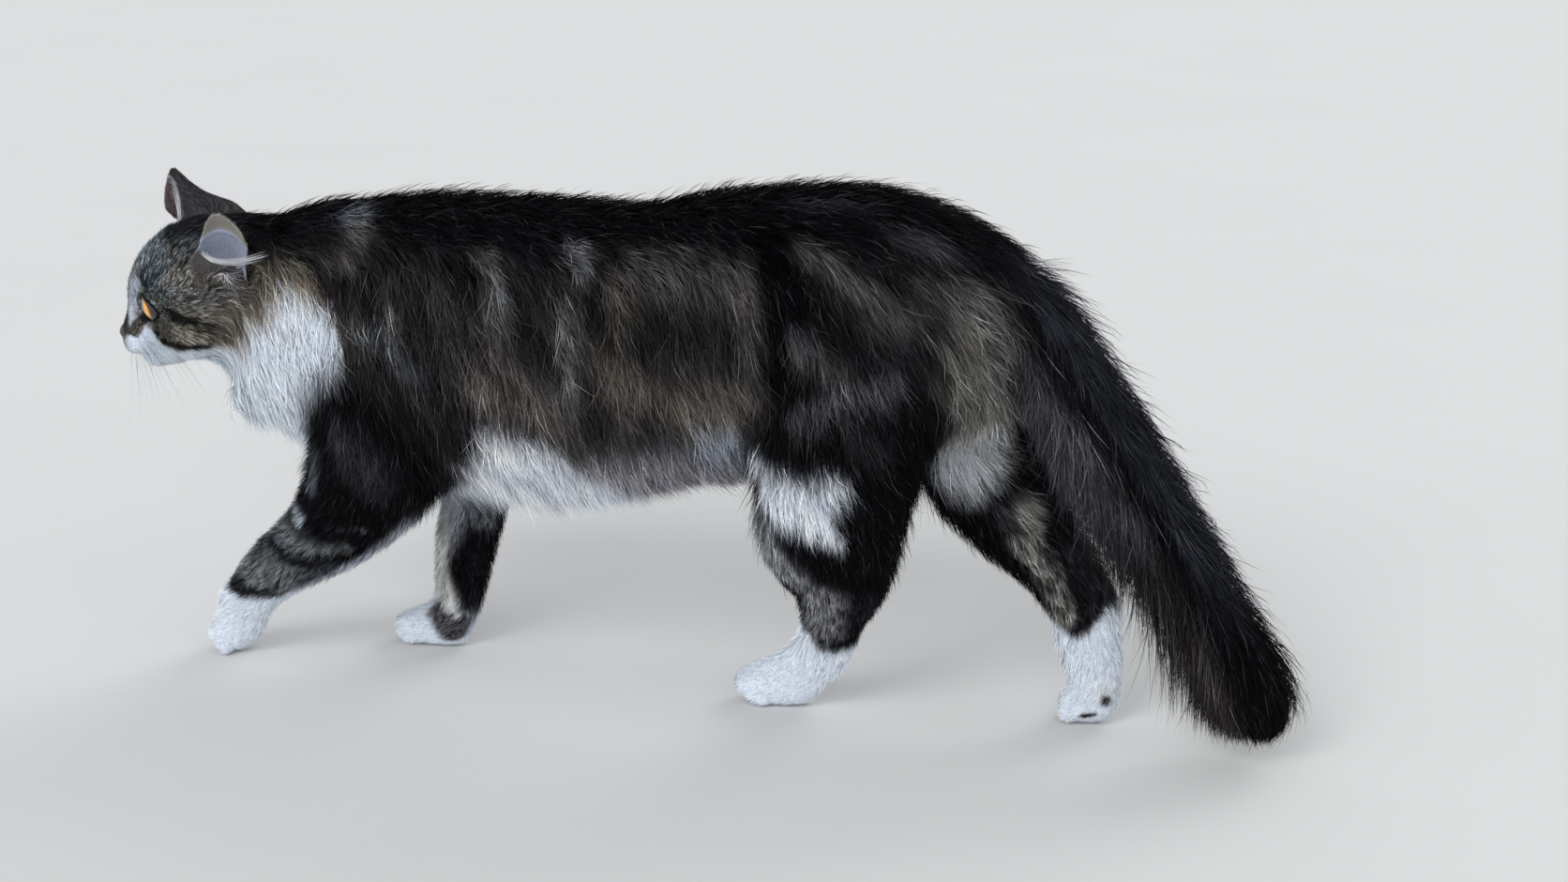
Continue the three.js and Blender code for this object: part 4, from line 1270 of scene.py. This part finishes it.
def make_tufts(name, chosen, spacing, hairs, segments):
    """Covers the chosen triangles with locks of some hairs each, one lock to every spacing squared."""
    a, b, c = (points[triangles[chosen, k]] for k in range(3))
    area = np.linalg.norm(np.cross(b - a, c - a), axis=1) / 2
    thin = 1.0
    count = int(area.sum() / (spacing * spacing) / thin)
    sums = np.cumsum(area)
    picks = (np.arange(count) + rng.random(count)) / count * sums[-1]
    tri = chosen[np.minimum(np.searchsorted(sums, picks), len(chosen) - 1)]
    u, v = rng.random(count), rng.random(count)
    over = u + v > 1
    u[over], v[over] = 1 - u[over], 1 - v[over]
    weights = np.stack([1 - u - v, u, v], axis=1)[:, :, None]
    take = lambda values: (values[triangles[tri]] * weights).sum(axis=1)
    root, n, d = take(points), unit(take(normals)), unit(take(lie))
    fields = hair_fields(root, n, take(share), take(depth[:, None])[:, 0])
    length, height, width, locks, standing, hang = fields
    length = length * rng.uniform(0.85, 1.1, count)
    # the tail's hair ends above the floor
    room = np.maximum(root[:, 2] - rng.uniform(9, 20, count), 6.0)
    length = mix(length, np.minimum(length, room), take(share)[:, AT["tail"]])
    sway = 0.16 * rng.standard_normal(count) + 0.30 * noise(root, 13.0, 95)
    d = unit(d + np.cross(n, d) * sway[:, None])
    stations, ups, ways, faces_at = [root], [n], [d], [tri]
    step = (length / segments)[:, None]
    loose = np.clip(standing * 1.15, 0, 0.95)[:, None]
    spot, way, up = root, d, n
    for _ in range(segments):
        ahead = spot + way * step
        hit, face = nearest_on_skin(ahead)
        up_here = unit(face_mean(normals, face))
        way_here = face_mean(lie, face) + np.cross(up_here, way) * (0.5 * sway)[:, None]
        spot = mix(hit, ahead, loose)
        up = unit(mix(up_here, up, loose))
        way = unit(0.55 * unit(way_here) + 0.45 * way + hang[:, None] * [0, 0, -1.0])
        way = unit(way - (way * up).sum(axis=1, keepdims=True) * up * 0.7 * (1 - loose))
        stations.append(spot)
        ups.append(up)
        ways.append(way)
        faces_at.append(face)
    stations, ups, ways = (np.stack(x, axis=1) for x in (stations, ups, ways))

    # locks lean together into larger ones towards their tips
    leaders = rng.permutation(count)[:max(count // 6, 1)]
    finder = finder_of(root[leaders])
    found = [finder.find(q) for q in root]
    leader = leaders[np.array([f[1] for f in found])]
    pull = 0.62 * locks * np.exp(-((np.array([f[2] for f in found]) / (2.4 * spacing)) ** 2))
    rate = (np.arange(segments + 1) / segments) ** 1.2
    stations = stations + (stations[leader] - stations) * pull[:, None, None] * rate[None, :, None]

    lock = np.repeat(np.arange(count), hairs)
    total = len(lock)
    reach = 0.62 * spacing * np.sqrt(rng.random(total))
    angle = rng.random(total) * 2 * np.pi
    off_way, off_side = reach * np.cos(angle), reach * np.sin(angle)
    stray = rng.random(total) < STRAYS
    own_length = rng.uniform(0.66, 1.08, total) * np.where(stray, rng.uniform(0.7, 1.05, total), 1.0)
    own_height = (0.30 + 0.75 * rng.random(total) ** 0.7) * np.where(stray, 1.38, 1.0)
    own_sway = np.where(stray, 0.20, 0.085) * rng.standard_normal(total)
    twist = rng.uniform(-0.9, 0.9, total) * np.interp(length[lock], [3, 10], [0.3, 1.0])
    curl = rng.random(total) * 2 * np.pi
    verts = np.zeros((total, 2 * segments + 1, 3))

    def at(s):
        """Place, up and way of every hair's lock at a share of the hair's length."""
        place = np.clip(s * own_length * segments, 0, segments)
        low = np.minimum(place.astype(int), segments - 1)
        part = (place - low)[:, None]
        pick = lambda x: x[lock, low] * (1 - part) + x[lock, low + 1] * part
        return pick(stations), unit(pick(ups)), unit(pick(ways))

    for k in range(segments + 1):
        s = k / segments
        q, up, way = at(s)
        side = np.cross(up, way)
        lying = 1 - (1 - s) ** 2
        rising = s**1.25
        lift = height[lock] * own_height * mix(lying, rising, standing[lock])
        gathered = 1 - locks[lock] * s**0.8
        wave = 0.025 * length[lock] * s * np.sin(curl + 3.0 * s)
        q = q + way * (off_way * (1 - 0.3 * s))[:, None]
        q = q + side * (off_side * gathered + own_sway * length[lock] * s * s + wave)[:, None]
        q = q + up * (lift - 0.5 * (1 - s))[:, None]
        half = 0.5 * width[lock] * HAIR_SHAPE[segments][k] * rng.uniform(0.85, 1.15, total)
        across = side * np.cos(twist)[:, None] + up * np.sin(twist)[:, None]
        if k < segments:
            verts[:, 2 * k] = q - across * half[:, None]
            verts[:, 2 * k + 1] = q + across * half[:, None]
        else:
            verts[:, 2 * k] = q
    verts[:, :, 2] = np.maximum(verts[:, :, 2], 0.15 + 0.3 * rng.random(total)[:, None])

    # each hair takes the colours of the markings where it shows
    tints = []
    for part, station in ((TINT_LOW, (segments + 1) // 2), (TINT_HIGH, segments)):
        share_out = face_mean(share, faces_at[station])
        depth_out = face_mean(depth[:, None], faces_at[station])[:, 0]
        ear_out = np.clip(share_out[:, AT["ear_left"]] + share_out[:, AT["ear_right"]], 0, 1)
        depth_out = mix(depth_out, 0.8, ear_out) * (1 - 0.7 * loose[:, 0])
        q, up, way = at(part)
        q = q + up * depth_out[lock][:, None] + way * off_way[:, None]
        q = q + np.cross(up, way) * (off_side * 0.6)[:, None]
        tints.append(coat_colour(q, up, share_out[lock]))
    pale = ramp(110, 180, (tints[0] + tints[1]).mean(axis=1) / 2)
    uneven = np.interp(length[lock], [4, 12], [0.11, 0.20]) + 0.3 * standing[lock] * (length[lock] < 14)
    vary = 1 + mix(uneven, 0.04, pale) * rng.standard_normal(total)
    vary = vary + mix(0.17, 0.03, pale) * rng.standard_normal(count)[lock]
    # short hair over the brow and face is ticked, light hairs among dark ones
    ticked = (0.9 * ramp(10, 22, to_head(root)[:, 2]) + 0.35) * take(share)[:, AT["head"]]
    tick = np.where(rng.random(total) < 0.28, 0.85, -0.22) * ticked[lock]
    vary = np.clip(vary * (1 + tick * (1 - pale)), 0.45, 2.2)[:, None]
    # about one dark hair in twenty is painted lighter: partly real silver hairs, partly painted highlights
    # for the gloss of dark fur
    silver_and_glint = (rng.random(total) < 0.05 * (1 - pale))[:, None]
    tints = [np.where(silver_and_glint, tint * vary * 0.7 + 36.0, tint * vary) for tint in tints]
    rows = np.array([s / segments for s in range(segments + 1) for _ in (0, 1)][:-1])
    over = np.clip((rows - TINT_LOW) / (TINT_HIGH - TINT_LOW), 0, 1)[None, :, None]
    base = tints[0][:, None, :] * (1 - over) + tints[1][:, None, :] * over
    # painted shade: each hair is darker at its root and a little lighter at its tip, for the shade that hair
    # casts on hair; pale hairs change less
    shade = mix(0.55, 1.08, ramp(0.0, 0.7, rows))[None, :]
    shade = mix(shade, 0.95 + 0.09 * rows[None, :], pale[:, None])
    paint = linear(base * shade[:, :, None]) * mix(*COAT_GAIN, pale)[:, None, None]

    rings = 2 * segments + 1
    quads = np.array([(2 * k, 2 * k + 1, 2 * k + 3, 2 * k + 2) for k in range(segments - 1)])
    tip = [[2 * segments - 2, 2 * segments - 1, 2 * segments]]
    flat = np.concatenate([quads[:, [0, 1, 2]], quads[:, [0, 2, 3]], tip])
    faces = (np.arange(total)[:, None, None] * rings + flat[None]).reshape(-1, 3)
    me = mesh_of(name, verts.reshape(-1, 3), faces)
    set_colours(me, np.clip(paint, 0, 0.9).reshape(-1, 3))
    uv_root = (skin_uv[tri] * weights).sum(axis=1)[lock]
    patch = np.stack([np.tile([0.0, 1.0], segments + 1)[:-1], rows], axis=1) - 0.5
    uv = uv_root[:, None, :] + 0.003 * patch[None]
    corner = uv.reshape(-1, 2)[faces.ravel()]
    layer = me.uv_layers.new(name="OFBake")
    layer.data.foreach_set("uv", np.clip(corner, 0, 1).astype(np.float32).ravel())
    made = add_object(name, me, COAT_MATERIAL)
    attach(made, "root")


# Hair shades hair, so the colours are a little lighter than they look.
COAT_GAIN = (1.5, 1.15)
COAT_MATERIAL = fur_material("coat_hair", 0.6, 0.0)
centre = points[triangles].mean(axis=1)
face_share = share[triangles].mean(axis=1)
owner = np.array(REGIONS)[np.argmax(face_share, axis=1)]
face_head = to_head(centre)
face_normal = unit(normals[triangles].mean(axis=1))
bare = (face_normal[:, 2] < -0.75) & (centre[:, 2] < 3.5)
for side in (-1, 1):
    gap, _, reach, ahead = lid_distance(face_head, side)
    bare |= (gap < 1.2) & (reach < EYE_RADIUS + 4) & (ahead > -0.2)
bare |= np.linalg.norm((face_head - NOSE_MIDDLE) / [6.2, 6.8, 5.6], axis=1) < 1
bare |= (in_hollow(face_head) > 0.5) & (rng.random(len(face_head)) > 0.08)
for name in EARS:
    e = ear_place(name, face_head)
    inside = face_normal @ head_vector(ear_axes(*EARS[name])[0]) < -0.1
    kept = 0.03 if name == "ear_left" else 0.3
    hairy = (e[:, 2] < 0.30) & (np.abs(e[:, 1]) > 6) & (name == "ear_left")
    hollow = inside & ~hairy & (np.abs(e[:, 1]) < 17) & (e[:, 2] < 0.96)
    bare |= (owner == name) & hollow & (rng.random(len(e)) > kept)


def where(nodes, test=None):
    chosen = np.isin(owner, nodes) & ~bare
    if test is not None:
        chosen &= test
    return np.nonzero(chosen)[0]


front_face = face_head[:, 0] < 52
left = centre[:, 1] < 0
fore = centre[:, 0] < -15
make_tufts("coat_face", where(["head"], front_face), 1.2, 5, 3)
make_tufts("coat_head", where(["head"], ~front_face), 1.7, 6, 3)
make_tufts("coat_ears", where(list(EARS)), 1.3, 4, 3)
make_tufts("coat_neck", where(["neck"]), 2.6, 9, 3)
make_tufts("coat_trunk_left_front", where(["trunk"], left & fore), 3.2, 9, 3)
make_tufts("coat_trunk_left_back", where(["trunk"], left & ~fore), 3.2, 9, 3)
make_tufts("coat_trunk_right_front", where(["trunk"], ~left & fore), 4.4, 8, 3)
make_tufts("coat_trunk_right_back", where(["trunk"], ~left & ~fore), 4.4, 8, 3)
make_tufts("coat_leg_front_left", where(LEGS[:1]), 2.4, 6, 3)
make_tufts("coat_leg_front_right", where(LEGS[1:2]), 2.4, 6, 3)
make_tufts("coat_leg_hind_left", where(LEGS[2:3]), 2.7, 7, 3)
make_tufts("coat_leg_hind_right", where(LEGS[3:]), 2.96, 7, 3)
make_tufts("coat_paws", where(PAWS), 1.75, 4, 3)
make_tufts("coat_tail", where(["tail"]), 2.8, 9, 4)


# ---------------------------------------------------------------- eyes

def surface_from_grid(rows, columns):
    """Quads between rows of points, each row a closed ring."""
    faces = []
    for i in range(rows - 1):
        for j in range(columns):
            k = (j + 1) % columns
            a, b = i * columns, (i + 1) * columns
            faces.append((a + j, a + k, b + k, b + j))
    return faces


# The iris and the slit of the pupil, in metres.
IRIS_RADIUS = 0.0067
PUPIL_HALF_HEIGHT, PUPIL_HALF_WIDTH = 0.0062, 0.0019


def eye_material():
    """An amber iris with fine fibres, a slit pupil and a dark ring, by distance from the eye's axis."""
    material, tree, shader = node_tree("eye_iris")
    where = tree.nodes.new("ShaderNodeTexCoord")
    parts = tree.nodes.new("ShaderNodeSeparateXYZ")
    tree.links.new(where.outputs["Object"], parts.inputs[0])

    def math_node(kind, *values):
        made = tree.nodes.new("ShaderNodeMath")
        made.operation = kind
        for k, value in enumerate(values):
            if isinstance(value, bpy.types.NodeSocket):
                tree.links.new(value, made.inputs[k])
            else:
                made.inputs[k].default_value = value
        return made.outputs[0]

    x, y, _ = parts.outputs
    radius = math_node("SQRT", math_node("ADD", math_node("POWER", x, 2.0), math_node("POWER", y, 2.0)))
    share_out = math_node("DIVIDE", radius, IRIS_RADIUS)
    ramp_node = tree.nodes.new("ShaderNodeValToRGB")
    # the ramp's last colour holds for the whole ball beyond the iris: a real dark ring round the iris, and
    # past it painted shade over the white of the eye under the lids
    steps = [
        (0.0, (0.30, 0.13, 0.012)), (0.35, (0.62, 0.27, 0.02)), (0.62, (0.86, 0.42, 0.035)),
        (0.84, (0.78, 0.33, 0.02)), (0.93, (0.22, 0.07, 0.006)), (1.0, (0.012, 0.009, 0.008)),
    ]
    while len(ramp_node.color_ramp.elements) < len(steps):
        ramp_node.color_ramp.elements.new(0.5)
    for element, (place, colour) in zip(ramp_node.color_ramp.elements, steps):
        element.position = place
        element.color = (*colour, 1)
    tree.links.new(share_out, ramp_node.inputs[0])
    angle = math_node("ARCTAN2", y, x)
    spokes = tree.nodes.new("ShaderNodeCombineXYZ")
    tree.links.new(math_node("MULTIPLY", angle, 9.0), spokes.inputs[0])
    tree.links.new(math_node("MULTIPLY", radius, 260.0), spokes.inputs[1])
    fibres = tree.nodes.new("ShaderNodeTexNoise")
    fibres.inputs["Scale"].default_value = 2.4
    fibres.inputs["Detail"].default_value = 4.0
    tree.links.new(spokes.outputs[0], fibres.inputs["Vector"])
    lit = fitted(tree, fibres.outputs["Fac"], 0.3, 0.7, 0.62, 1.3)
    scaled = tree.nodes.new("ShaderNodeVectorMath")
    scaled.operation = "SCALE"
    tree.links.new(ramp_node.outputs[0], scaled.inputs[0])
    tree.links.new(lit, scaled.inputs["Scale"])
    tall = math_node("DIVIDE", math_node("ABSOLUTE", y), PUPIL_HALF_HEIGHT)
    taper = math_node("POWER", math_node("MINIMUM", tall, 1.0), 2.0)
    slit = math_node("MULTIPLY", PUPIL_HALF_WIDTH, math_node("SUBTRACT", 1.0, taper))
    inside = math_node("LESS_THAN", math_node("ABSOLUTE", x), slit)
    colour = mixed(tree, "MIX", inside, scaled.outputs[0], (0.004, 0.004, 0.004, 1))
    tree.links.new(colour, shader.inputs["Base Color"])
    shader.inputs["Roughness"].default_value = 0.08
    shader.inputs["Coat Weight"].default_value = 1.0
    shader.inputs["Coat Roughness"].default_value = 0.02
    return material


def turned_shape(name, profile, material, columns=64):
    """A round shape from a profile of (radius, height) in mm about its own Z axis."""
    turns = np.linspace(0, 2 * np.pi, columns, endpoint=False)
    points = [(r * math.cos(t), r * math.sin(t), z) for r, z in profile for t in turns]
    me = mesh_of(name, np.array(points), surface_from_grid(len(profile), columns))
    return add_object(name, me, material)


IRIS = eye_material()
LID_MARGIN = toned_material("lid_margin", 1500.0, (0.012, 0.009, 0.009), (0.035, 0.025, 0.022), 0.25)

for side, word in ((-1, "left"), (1, "right")):
    axes = eye_axes(side)
    middle = from_head(EYES[side])
    out, corner, up = (head_vector(axis) for axis in axes)
    angles = np.linspace(0.0008, math.pi - 0.02, 60)
    profile = []
    for a in angles:
        dome = 0.9 * (1 - ramp(0.62, 0.98, a)) * math.cos(a)
        profile.append(((EYE_RADIUS + dome) * math.sin(a), (EYE_RADIUS + dome) * math.cos(a)))
    ball_piece = turned_shape("eyeball_" + word, profile, IRIS)
    matrix = np.eye(4)
    matrix[:3, 0], matrix[:3, 1], matrix[:3, 2] = corner, np.cross(out, corner), out
    matrix[:3, 3] = middle / MM
    ball_piece.matrix_world = Matrix(matrix.tolist())
    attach(ball_piece, "root")
    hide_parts("eye_" + word)
    # the moist edge of the lids
    loop = np.concatenate([LID_RIM[:RIM_STEPS], LID_RIM[RIM_STEPS:][::-1][1:-1]])
    count = len(loop)
    rings = []
    tube = 10
    for k in range(count):
        here = loop[k]
        ahead = unit(loop[(k + 1) % count] - loop[k - 1])
        outwards = unit(np.cross(ahead, here))
        for j in range(tube):
            t = 2 * math.pi * j / tube
            rings.append(here * (EYE_RADIUS + 0.45) + 0.62 * (math.cos(t) * here + math.sin(t) * outwards))
    rings = np.array(rings) @ axes + EYES[side]
    faces = np.array(surface_from_grid(count + 1, tube)) % (count * tube)
    margin = add_object("lid_margin_" + word, mesh_of("lid_margin", from_head(rings), faces), LID_MARGIN)
    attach(margin, "root")

# ---------------------------------------------------------------- nose leather

NOSE, tree, shader = node_tree("nose_leather")
pebbles = tree.nodes.new("ShaderNodeTexVoronoi")
pebbles.inputs["Scale"].default_value = 1900.0
where_node = tree.nodes.new("ShaderNodeTexCoord")
tree.links.new(where_node.outputs["Object"], pebbles.inputs["Vector"])
tone = mixed(tree, "MIX", noise_node(tree, 260.0, 4.0), (0.034, 0.027, 0.027, 1), (0.085, 0.062, 0.058, 1))
# the mesh's Coat colours darken the nostrils: painted shade in their pits
nostril_shade_paint = tree.nodes.new("ShaderNodeAttribute")
nostril_shade_paint.attribute_name = "Coat"
tone = mixed(tree, "MULTIPLY", 1.0, tone, nostril_shade_paint.outputs["Color"])
tree.links.new(tone, shader.inputs["Base Color"])
shader.inputs["Roughness"].default_value = 0.42
bumped(tree, shader, pebbles.outputs["Distance"], 0.5, 0.0003)


def nose_leather():
    """The bare nose: a rounded wedge with a curved nostril on each side and a groove down its middle."""
    rows, columns = 90, 120
    v = np.linspace(0.0, math.pi, rows)[:, None]
    u = np.linspace(0, 2 * np.pi, columns, endpoint=False)[None, :]
    d = vectors(-np.cos(v), np.sin(v) * np.cos(u), np.sin(v) * np.sin(u)).reshape(-1, 3)
    width = 7.0 * (0.62 + 0.38 * ramp(-0.9, 0.5, d[:, 2]))
    p = vectors(5.7 * d[:, 0], width * d[:, 1], 5.9 * d[:, 2])
    p[:, 0] += 0.10 * p[:, 2] + 0.9 * np.exp(-((p[:, 1] / 1.1) ** 2)) * ramp(1.5, -3.0, p[:, 2])
    dark = np.ones(len(p))
    for side in (-1, 1):
        hole = [(-4.4, 2.9, -0.8), (-3.0, 4.8, -1.1), (-0.6, 6.2, 0.3), (1.6, 6.5, 1.6)]
        gap = to_line(p, np.array(hole) * [1, side, 1])
        slope = np.interp(np.abs(p[:, 1]), [2.5, 4.0, 7.0], [1.5, 1.15, 0.6])
        pit = np.exp(-((gap / slope) ** 2)) * (p[:, 0] < 2.6)
        p = p - unit(p) * (2.3 * pit)[:, None] * [0.75, 1, 0.5]
        # painted shade: the nostrils are darkened in their pits
        dark *= 1 - 0.9 * ramp(0.25, 0.9, pit)
    return p + NOSE_MIDDLE, dark, surface_from_grid(rows, columns)


nose_points, nostril_shade, nose_faces = nose_leather()
nose_mesh = mesh_of("nose", from_head(nose_points), nose_faces)
set_colours(nose_mesh, np.repeat(nostril_shade[:, None], 3, axis=1))
nose = add_object("nose_leather", nose_mesh, NOSE)
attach(nose, "root")
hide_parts("nose_pad")

# ---------------------------------------------------------------- whiskers

WHISKER = toned_material("whisker", 300.0, (0.50, 0.51, 0.54), (0.74, 0.75, 0.78), 0.35)


def add_hairs(name, paths, radii, sides):
    """Thin tapering tubes along paths in the head's frame, with the same radii along each."""
    stations = len(radii)
    turns = np.linspace(0, 2 * np.pi, sides, endpoint=False)
    rings = []
    for path in paths:
        for k, spot in enumerate(path):
            ahead = unit(path[min(k + 1, stations - 1)] - path[max(k - 1, 0)])
            one = unit(np.cross(ahead, [0.3, 0.5, 0.81]))
            two = np.cross(ahead, one)
            rings.append([spot + radii[k] * (math.cos(t) * one + math.sin(t) * two) for t in turns])
    grid = np.array(surface_from_grid(stations, sides))
    faces = np.concatenate([grid + k * stations * sides for k in range(len(paths))])
    made = add_object(name, mesh_of(name, from_head(np.array(rings).reshape(-1, 3)), faces), WHISKER)
    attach(made, "root")


def add_whiskers(name, starts, directions, lengths, droop, thick):
    """Hairs in the head's frame that leave their starts and sag."""
    stations = 14
    shares = [k / (stations - 1) for k in range(stations)]
    paths = []
    for start, way, length in zip(starts, directions, lengths):
        way = unit(np.array(way, float))
        out, sag = way * length, HEAD_DOWN * droop * length
        paths.append([np.array(start) + out * s * (1 - 0.12 * s) + sag * s * s for s in shares])
    radii = [thick * (1 - 0.88 * k / (stations - 1)) for k in range(stations)]
    add_hairs(name, paths, radii, 5)


for side, word in ((-1, "left"), (1, "right")):
    starts, ways, lengths = [], [], []
    for row in range(4):
        for k in range(3 + (row in (1, 2))):
            from_middle = side * (10.0 + 1.9 * k + 0.8 * row)
            starts.append((6.5 + 3.2 * k + 0.5 * row, from_middle, -6.5 - 2.6 * row + 0.4 * k))
            back = 0.08 + 0.12 * k + rng.uniform(-0.08, 0.08)
            aside = side * (0.42 - 0.08 * row + rng.uniform(-0.06, 0.06))
            ways.append(np.array([back, aside, 0.12 - 0.06 * row]) + 0.75 * HEAD_DOWN)
            lengths.append(rng.uniform(36, 62) - 8 * (row == 0))
    add_whiskers("whiskers_" + word, starts, ways, lengths, 0.12, 0.26)
    starts = [(24 + k * 2.0, side * (14 + 2.2 * k), 27 + 0.8 * k) for k in range(4)]
    ways = [(-0.25 + 0.15 * k, side * (0.25 + 0.12 * k), 0.9) for k in range(4)]
    add_whiskers("brow_hairs_" + word, starts, ways, [20, 24, 20, 16], 0.25, 0.12)


def resampled(line, places):
    """Points of a polyline at the given places, counted in its corners."""
    return np.stack([np.interp(places, np.arange(len(line)), line[:, k]) for k in range(3)], axis=1)


def add_strands(name, ear, lines, thick):
    """Long soft hairs at an ear. Each is a curve through points in the ear's own frame."""
    stations = 12
    foot, tip, facing = EARS[ear]
    axes = ear_axes(foot, tip, facing)
    paths = []
    for line in lines:
        path = resampled(line, np.linspace(0, len(line) - 1, stations))
        for _ in range(3):
            path[1:-1] = 0.5 * path[1:-1] + 0.25 * (path[:-2] + path[2:])
        paths.append(path @ axes + np.array(foot, float))
    radii = [thick * (1 - 0.9 * (k / (stations - 1)) ** 1.5) for k in range(stations)]
    add_hairs(name, paths, radii, 4)


def jittered(lines, count, spread):
    """Copies of the given curves, each a little different and cut at its own length."""
    made = []
    for k in range(count):
        line = np.array(lines[k % len(lines)], float)
        end = rng.uniform(0.72, 1.0) * (len(line) - 1)
        line = resampled(line, np.linspace(0, end, 6)) + rng.normal(0, 1, 3) * spread
        made.append(line + np.linspace(0, 1, 6)[:, None] * rng.normal(0, 1, 3) * spread)
    return made


sweep = [
    (-2.6, 11.8, 26.8), (-4.2, 9.4, 24.6), (-6.4, 5.5, 24), (-8, -1.7, 24.6),
    (-12, -11.7, 29), (-14, -22.4, 34.8), (-15, -29.4, 39),
]
short = [(-3, 1, 11), (-7, -1, 9.5), (-10, -4, 8.5)]
hairs = jittered([sweep], 46, [0.6, 1.1, 1.0]) + jittered([short], 10, [0.5, 1.2, 0.8])
add_strands("ear_tuft_left", "ear_left", hairs, 0.18)
front_edge = [(-3.5, -15.5, 20), (1.6, -13.2, 28), (1.8, -10.2, 36), (-0.4, -6, 47)]
inner = [(2, -4, 6), (-5, -8, 20), (-8, -9, 34)]
hairs = jittered([front_edge, inner], 30, [0.4, 0.8, 1.2])
add_strands("ear_tuft_right", "ear_right", hairs, 0.16)


# ---------------------------------------------------------------- camera, lights and floor

scene = bpy.context.scene
TURN, RISE = math.radians(19), math.radians(15)
DISTANCE, LENS = 1.3684, 55.98
towards = np.array([math.sin(TURN) * math.cos(RISE), -math.cos(TURN) * math.cos(RISE), math.sin(RISE)])
aim = np.array([0.0605, 0.0, 0.155])
camera = bpy.data.objects.new("camera", bpy.data.cameras.new("camera"))
scene.collection.objects.link(camera)
camera.data.sensor_width = 36.0
camera.data.lens = LENS
camera.data.clip_start = 0.01
camera.location = aim + towards * DISTANCE
camera.rotation_euler = Vector(-towards).to_track_quat("-Z", "Y").to_euler()
scene.camera = camera


def soft_light(name, place, spread, strength):
    """A large far lamp, the same everywhere."""
    lamp = bpy.data.lights.new(name, "SUN")
    lamp.angle = spread
    lamp.energy = strength
    made = bpy.data.objects.new(name, lamp)
    made.rotation_euler = (-Vector(place)).to_track_quat("-Z", "Y").to_euler()
    scene.collection.objects.link(made)


soft_light("key", (-0.6, -2.2, 1.7), 0.5, 1.2)
soft_light("front", (0.8, -2.4, 0.8), 0.6, 0.75)
soft_light("fill", (2.0, -1.2, 1.2), 1.0, 0.3)
soft_light("rim", (0.8, 2.0, 1.4), 0.6, 0.7)

world = bpy.data.worlds.new("world")
scene.world = world
world.use_nodes = True
tree = world.node_tree
tree.nodes["Background"].inputs["Color"].default_value = (0.96, 0.98, 1.0, 1)
tree.nodes["Background"].inputs["Strength"].default_value = 0.62

wide = 30000
corners = np.array([(-wide, -wide, 0), (wide, -wide, 0), (wide, wide, 0), (-wide, wide, 0)], float)
floor_material = toned_material("floor", 3.0, (0.66, 0.66, 0.66), (0.69, 0.69, 0.69), 0.8)
floor = add_object("floor", mesh_of("floor", corners, [(0, 1, 2, 3)]), floor_material)

scene.view_settings.view_transform = "Standard"
